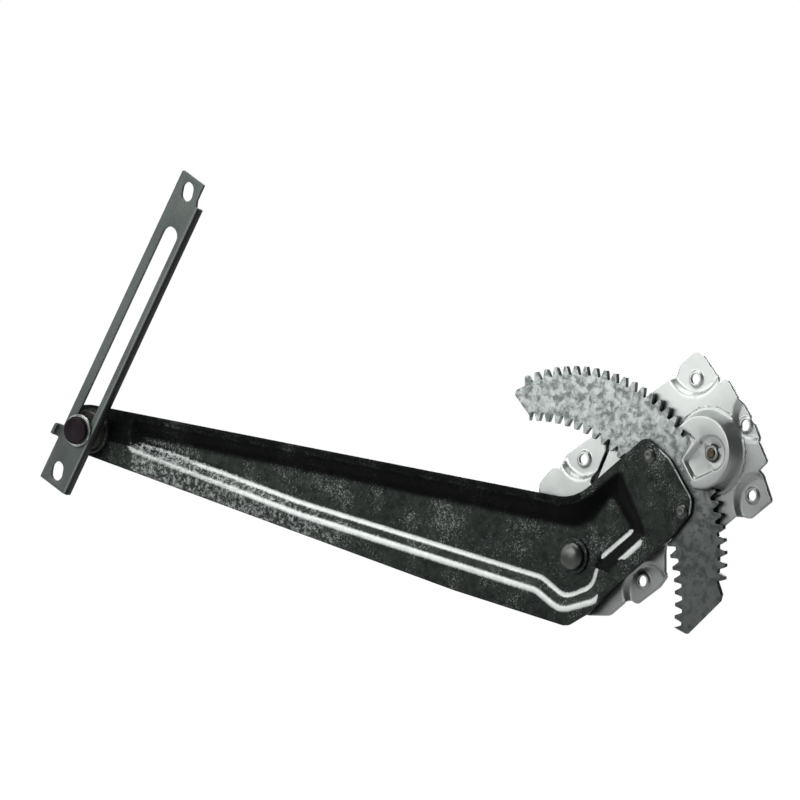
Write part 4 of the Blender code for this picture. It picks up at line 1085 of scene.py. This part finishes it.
class REGULATOR_OT_drive(bpy.types.Operator):
    """Cut the pinion, turn the spindle and its bush, and fit the clutch in its drum"""

    bl_idname = "regulator.drive"
    bl_label = "Pinion, spindle and clutch"

    def execute(self, context):
        sizes = context.scene.regulator_sizes
        softened("pinion_gear", "pinion", "machined steel", "drive", "oiled_steel", sizes.edge_break)
        softened("crank_spindle", "drive_spindle", "spindle bronze", "drive", "oiled_steel", 0.12 * MM, 1)
        softened("drum_core", "clutch_core", "machined steel", "drive", "oiled_steel", sizes.edge_break)
        softened("drum_driver", "clutch_driver", "machined steel", "drive", "oiled_steel", sizes.edge_break)
        softened("brake_drum", "clutch_housing", "bright zinc", "base", "bright_zinc", 0.5 * MM, 3)
        low, high = heights("front_bush")
        outer = radius_of("front_bush")
        floor = DOME_TOP - 2.0 * MM
        bush = [
            (3.3 * MM, high), (3.9 * MM, high), (outer - 0.3 * MM, high - 0.15 * MM),
                (outer, high - 0.5 * MM),
            (outer, floor + 0.3 * MM), (4.0 * MM, floor + 0.3 * MM), (4.0 * MM, low), (3.3 * MM, low),
                (3.3 * MM, high),
        ]
        bm = spun(bush, PINION, sizes.turning_steps)
        new_piece("shaft_bush", bm, MATERIALS["spangled galvanised"], "base",
            ["front_bush"], 50)
        for name, node_name, material, body, slot in (
                ("rear_seal", "spindle_seal", "seal rubber", "base", "seal_rubber"),
                ("rear_washer", "thrust_washer", "spangled galvanised", "drive", "spangled_galvanised")):
            low, high = heights(node_name)
            inner = 5.5 * MM
            bm = spun(ring_profile(radius_of(node_name), inner, low, high), PINION, sizes.turning_steps)
            piece = new_piece(name, bm, MATERIALS[material], body, [node_name])
            add_bevel(piece, sizes.edge_break)
        self.wind_spring()
        return {"FINISHED"}

    def wind_spring(self):
        """Wrap spring: a round wire wound close to the drum's wall."""
        low, high = heights("clutch_spring")
        wire = 0.9 * MM
        radius = radius_of("clutch_spring") - wire
        turns, per_turn, sides = 4, 48, 10
        bm = bmesh.new()
        start = Matrix.Translation(stand(PINION + Vector((radius, 0.0)), low + wire))
        bmesh.ops.create_circle(bm, cap_ends=True, segments=sides, radius=wire, matrix=start)
        ring = list(bm.verts)
        rise = (high - low - 2 * wire) / turns
        bmesh.ops.spin(
            bm, geom=list(bm.faces), cent=stand(PINION), axis=(0.0, 1.0, 0.0),
            dvec=(0.0, -rise / per_turn, 0.0), angle=math.tau * turns, steps=turns * per_turn,
            use_merge=False, use_normal_flip=False, use_duplicate=False)
        bmesh.ops.recalc_face_normals(bm, faces=bm.faces)
        if not ring:
            raise RuntimeError("the spring's wire has no section")
        new_piece("wrap_spring", bm, MATERIALS["machined steel"], "drive", ["clutch_spring"],
            60)


# Pivot -----------------------------------------------------------------------------------------

class REGULATOR_OT_pivot(bpy.types.Operator):
    """Turn the pivot stud with its domed head, its washer and the bush under it"""

    bl_idname = "regulator.pivot"
    bl_label = "Pivot"

    def execute(self, context):
        sizes = context.scene.regulator_sizes
        washer_low, washer_high = heights("pivot_washer")
        low, high = heights("pivot_stud")
        seat = washer_high + 0.3 * MM
        head = radius_of("pivot_stud")
        profile = [(0.0, high)]
        for k in range(1, 9):
            angle = math.pi / 2 * (1 - k / 8)
            profile.append((head * math.cos(angle) ** 0.85,
                seat + 0.9 * MM + (high - seat - 0.9 * MM) * math.sin(angle)))
        tail = 2.7 * MM
        profile += [
            (head, seat + 0.3 * MM), (head - 0.3 * MM, seat), (6.0 * MM, seat), (6.0 * MM, tail),
            (7.6 * MM, tail), (8.0 * MM, tail - 0.4 * MM), (8.0 * MM, low + 0.4 * MM), (7.6 * MM, low),
                (0.0, low),
        ]
        bm = spun(profile, PIVOT, sizes.turning_steps)
        new_piece("pivot_pin", bm, MATERIALS["machined steel"], "base", ["pivot_stud"], 50)
        bm = spun(ring_profile(radius_of("pivot_washer"), 6.3 * MM, washer_low, washer_high), PIVOT,
            sizes.turning_steps)
        piece = new_piece("pivot_plain_washer", bm, MATERIALS["dark galvanised collar"], "base",
            ["pivot_washer"])
        add_bevel(piece, sizes.edge_break)
        low, high = heights("pivot_bush")
        bm = spun(ring_profile(radius_of("pivot_bush"), 6.3 * MM, low, high), PIVOT, sizes.turning_steps)
        piece = new_piece("pivot_sleeve", bm, MATERIALS["bush bronze"], "base",
            ["pivot_bush"])
        add_bevel(piece, sizes.edge_break)
        return {"FINISHED"}


# Roller and rail -------------------------------------------------------------------------------

class REGULATOR_OT_roller(bpy.types.Operator):
    """Turn the roller, its stud, collar, washer and end cap at the arm's tip"""

    bl_idname = "regulator.roller"
    bl_label = "Roller"

    def execute(self, context):
        sizes = context.scene.regulator_sizes
        steps = sizes.turning_steps
        softened("roller_pin", "roller_stud", "machined steel", "arm", "oiled_steel", sizes.edge_break)
        low, high = heights("roller_spacer")
        outer = radius_of("roller_spacer")
        collar = [
            (4.3 * MM, high - 0.6 * MM), (7.0 * MM, high - 0.6 * MM), (8.2 * MM, high),
                (outer - 1.8 * MM, high),
            (outer - 0.6 * MM, high - 0.4 * MM), (outer, high - 1.3 * MM), (outer, low), (4.3 * MM, low),
                (4.3 * MM, high - 0.6 * MM),
        ]
        new_piece("arm_collar", spun(collar, TIP, steps), MATERIALS["dark galvanised collar"], "arm",
            ["roller_spacer"], 50)
        low, high = heights("roller_cap")
        outer = radius_of("roller_cap")
        inner_top = high - 1.4 * MM
        cap = [
            (0.0, high - 0.5 * MM), (outer - 2.6 * MM, high - 0.5 * MM), (outer - 1.9 * MM, high),
                (outer - 0.8 * MM, high),
            (outer - 0.2 * MM, high - 0.3 * MM), (outer, high - 0.9 * MM), (outer, low), (4.3 * MM, low),
            (4.3 * MM, inner_top), (0.0, inner_top),
        ]
        new_piece("roller_end_cap", spun(cap, TIP, steps), MATERIALS["cap plastic"], "arm",
            ["roller_cap"], 50)
        softened("rail_roller", "guide_roller", "greased nylon", "roller", "roller_nylon", 0.4 * MM, 3)
        low, high = heights("roller_washer")
        bm = spun(ring_profile(radius_of("roller_washer"), 4.3 * MM, low, high), TIP, steps)
        piece = new_piece("rail_washer", bm, MATERIALS["spangled galvanised"], "roller",
            ["roller_washer"])
        add_bevel(piece, sizes.edge_break)
        return {"FINISHED"}


class REGULATOR_OT_rail(bpy.types.Operator):
    """Blank, pierce and fold the slotted glass rail"""

    bl_idname = "regulator.rail"
    bl_label = "Glass rail"

    def execute(self, context):
        sizes = context.scene.regulator_sizes
        low, high = -41.3 * MM, 185.7 * MM
        left, right = -12.2 * MM, 11.3 * MM
        notch = high - 15.0 * MM
        bend_r = 2.4 * MM
        fold_line = right - bend_r
        fold_depth = RAIL_FRONT - 4.0 * MM - RAIL_TAIL
        flange = right + fold_depth - (2 - math.pi / 2) * bend_r
        tab_low, tab_high = -12.0 * MM, -4.0 * MM
        tab_end = left - 3.0 * MM - 6.0 * MM
        corners = [
            (low, left), (tab_low, left), (tab_low + 0.6 * MM, tab_end), (tab_high - 0.6 * MM, tab_end),
            (tab_high, left), (high, left), (high, right - 4.0 * MM), (notch + 4.0 * MM, right - 4.0 * MM),
            (notch, fold_line), (notch - 1.0 * MM, flange), (low, flange),
        ]
        outline = rounded([(along, across, 0.8 * MM) for along, across in corners], 4)
        slot = stadium(Vector((SLOT_REACH / 2, 0.0)), Vector((1.0, 0.0)), SLOT_REACH + 12.4 * MM, 6.2 * MM,
            20)
        centre = right - 11.75 * MM - 1.5 * MM
        tilt = Vector((0.25, 1.0)).normalized()
        way = Vector((tilt.dot(RAIL_WAY), tilt.dot(Vector((RAIL_WAY.y, -RAIL_WAY.x)))))
        holes = [
            stadium(Vector((place, centre)), way, 12.6 * MM, 4.6 * MM, 14)
            for place in (low + 10.0 * MM, high - 10.0 * MM)
        ]
        bm = flat_sheet([outline, slot] + holes)
        self.crease(bm, fold_line, bend_r, left)
        painted_highlight = bm.verts.layers.float.new("painted_highlight")
        painted_shade = bm.verts.layers.float.new("painted_shade")
        for vert in bm.verts:
            turned = (vert.co.z - fold_line) / (math.pi / 2 * bend_r)
            # Painted highlight on the fold's first turn, and painted shade on the flange beyond it.
            vert[painted_highlight] = 1.0 if 0.05 < turned < 0.4 else 0.0
            vert[painted_shade] = 1.0 if turned > 0.5 else 0.0
            vert.co = self.folded(vert.co.x, vert.co.z, fold_line, bend_r, left)
        bmesh.ops.remove_doubles(bm, verts=bm.verts, dist=1e-6)
        face_glass(bm)
        piece = new_piece("slotted_rail", bm, MATERIALS["phosphated steel"], "rail",
            ["glass_rail"], 30)
        add_sheet(piece, sizes.rail_sheet)
        add_bevel(piece, sizes.edge_break, 2, 50)
        return {"FINISHED"}

    def crease(self, bm, fold_line, bend_r, left):
        """Cuts along both bends, so that they can be rolled round their radius."""
        places = [fold_line + math.pi / 2 * bend_r * k / 6 for k in range(7)]
        places += [left - math.pi / 2 * bend_r * k / 5 for k in range(6)]
        for place in places:
            geom = list(bm.verts) + list(bm.edges) + list(bm.faces)
            bmesh.ops.bisect_plane(bm, geom=geom, dist=1e-6, plane_co=(0.0, 0.0, place),
                plane_no=(0.0, 0.0, 1.0))

    def folded(self, along, across, fold_line, bend_r, left):
        """Place of a point of the flat blank once both edges are bent."""
        face = RAIL_FRONT - 4.0 * MM
        if across > fold_line:
            run = across - fold_line
            angle = min(run / bend_r, math.pi / 2)
            rest = max(0.0, run - math.pi / 2 * bend_r)
            return stand(rail_point(along, fold_line + bend_r * math.sin(angle)),
                face - bend_r * (1 - math.cos(angle)) - rest)
        if across < left:
            radius = bend_r
            run = left - across
            angle = min(run / radius, math.pi / 2)
            rest = max(0.0, run - math.pi / 2 * radius)
            out = left - radius * math.sin(angle)
            return stand(rail_point(along, out), face + radius * (1 - math.cos(angle)) + rest * 0.3)
        return stand(rail_point(along, across), face)


# Finishes, stage and panel ---------------------------------------------------------------------

class REGULATOR_OT_finishes(bpy.types.Operator):
    """Build the shader groups and the materials that the pieces share"""

    bl_idname = "regulator.finishes"
    bl_label = "Finishes"

    def execute(self, context):
        make_finishes(context.scene.regulator_colours)
        for name, made in frame["nodes"].items():
            made.data.materials.clear()
            made.data.materials.append(MATERIALS["machined steel"])
        return {"FINISHED"}


def add_area_light(name, place, target, width, height, power, tint=(1.0, 1.0, 1.0)):
    light = bpy.data.lights.new(name, "AREA")
    light.shape = "RECTANGLE"
    light.size, light.size_y = width, height
    light.energy = power
    light.color = tint
    obj = bpy.data.objects.new(name, light)
    obj.location = place
    obj.rotation_euler = (Vector(target) - Vector(place)).to_track_quat("-Z", "Y").to_euler()
    obj.visible_camera = False
    bpy.context.scene.collection.objects.link(obj)
    return obj


class REGULATOR_OT_stage(bpy.types.Operator):
    """Set the pale floor, the studio lights and the camera"""

    bl_idname = "regulator.stage"
    bl_label = "Stage"

    def execute(self, context):
        self.lay_floor(Vector(CAD_BOX[0]))
        self.hang_lights()
        self.place_camera(context)
        context.scene.view_settings.view_transform = "Standard"
        return {"FINISHED"}

    def lay_floor(self, low):
        bm = bmesh.new()
        bmesh.ops.create_grid(bm, x_segments=2, y_segments=2, size=6.0)
        mesh = bpy.data.meshes.new("floor")
        bm.to_mesh(mesh)
        bm.free()
        floor = bpy.data.objects.new("floor", mesh)
        floor.location = (0.0, 0.0, low.z - 0.12)
        bpy.context.scene.collection.objects.link(floor)
        material = bpy.data.materials.new("pale floor")
        material.use_nodes = True
        tree = material.node_tree
        shader = tree.nodes["Principled BSDF"]
        shader.inputs["Base Color"].default_value = (0.90, 0.90, 0.90, 1.0)
        shader.inputs["Roughness"].default_value = 0.9
        shader.inputs["Specular IOR Level"].default_value = 0.0
        shader.inputs["Emission Color"].default_value = (1.0, 1.0, 1.0, 1.0)
        seen = node(tree, "ShaderNodeLightPath").outputs["Is Camera Ray"]
        tree.links.new(maths(tree, "MULTIPLY", seen, 0.95), shader.inputs["Emission Strength"])
        mesh.materials.append(material)

    def hang_lights(self):
        world = bpy.data.worlds.new("studio")
        world.use_nodes = True
        tree = world.node_tree
        path = node(tree, "ShaderNodeLightPath")
        seen = tree.nodes["Background"]
        seen.inputs["Color"].default_value = (1.0, 1.0, 1.0, 1.0)
        around = node(tree, "ShaderNodeBackground", None,
            {"Color": (0.88, 0.92, 0.90, 1.0), "Strength": 0.11})
        mix = node(tree, "ShaderNodeMixShader", None, {0: path.outputs["Is Camera Ray"]})
        tree.links.new(around.outputs[0], mix.inputs[1])
        tree.links.new(seen.outputs[0], mix.inputs[2])
        tree.links.new(mix.outputs[0], tree.nodes["World Output"].inputs["Surface"])
        bpy.context.scene.world = world
        add_area_light("key panel", (-0.70, -0.40, 0.46), (-0.62, 0.0, 0.42), 1.0, 0.80, 5.4)
        add_area_light("top panel", (-0.1, -0.35, 1.3), (0.0, 0.0, 0.0), 1.0, 0.7, 7.0)
        add_area_light("front fill", (-0.5, -2.2, 0.6), (-0.2, 0.0, 0.05), 0.8, 0.8, 11.0)
        add_area_light("back fill", (-0.6, 1.6, 0.9), (-0.1, 0.0, 0.05), 1.2, 1.0, 24.0)

    def place_camera(self, context):
        scale = 1578.0
        azimuth = math.radians(38.0)
        distance = 20.0
        target = Vector((-0.1391, -SECTOR_FACE, 0.0985))
        back = Vector((math.sin(azimuth), -math.cos(azimuth), 0.0))
        camera = bpy.data.cameras.new("camera")
        camera.sensor_width = 36.0
        camera.lens = 36.0 * distance * scale / 800.0
        camera.clip_start, camera.clip_end = 1.0, 60.0
        obj = bpy.data.objects.new("camera", camera)
        obj.location = target + back * distance
        obj.rotation_euler = (-back).to_track_quat("-Z", "Y").to_euler()
        context.scene.collection.objects.link(obj)
        context.scene.camera = obj


OPERATORS = [
    REGULATOR_OT_finishes, REGULATOR_OT_base_plate, REGULATOR_OT_lift_arm, REGULATOR_OT_sector,
    REGULATOR_OT_drive, REGULATOR_OT_pivot, REGULATOR_OT_roller, REGULATOR_OT_rail, REGULATOR_OT_stage,
]


class REGULATOR_PT_panel(bpy.types.Panel):
    """Lists the regulator's pieces"""

    bl_idname = "REGULATOR_PT_panel"
    bl_label = "Window regulator"
    bl_space_type = "VIEW_3D"
    bl_region_type = "UI"
    bl_category = "Regulator"

    def draw(self, context):
        layout = self.layout
        for operator in OPERATORS:
            layout.operator(operator.bl_idname)
        for group in (context.scene.regulator_sizes, context.scene.regulator_colours):
            box = layout.box()
            for name in group.__annotations__:
                box.prop(group, name)


CLASSES = [RegulatorSizes, RegulatorColours, *OPERATORS, REGULATOR_PT_panel]


def register():
    for item in CLASSES:
        bpy.utils.register_class(item)
    bpy.types.Scene.regulator_sizes = PointerProperty(type=RegulatorSizes)
    bpy.types.Scene.regulator_colours = PointerProperty(type=RegulatorColours)


def unregister():
    del bpy.types.Scene.regulator_colours
    del bpy.types.Scene.regulator_sizes
    for item in reversed(CLASSES):
        bpy.utils.unregister_class(item)


def main():
    register()
    for operator in OPERATORS:
        getattr(bpy.ops.regulator, operator.bl_idname.split(".")[1])()


if __name__ == "__main__":
    main()
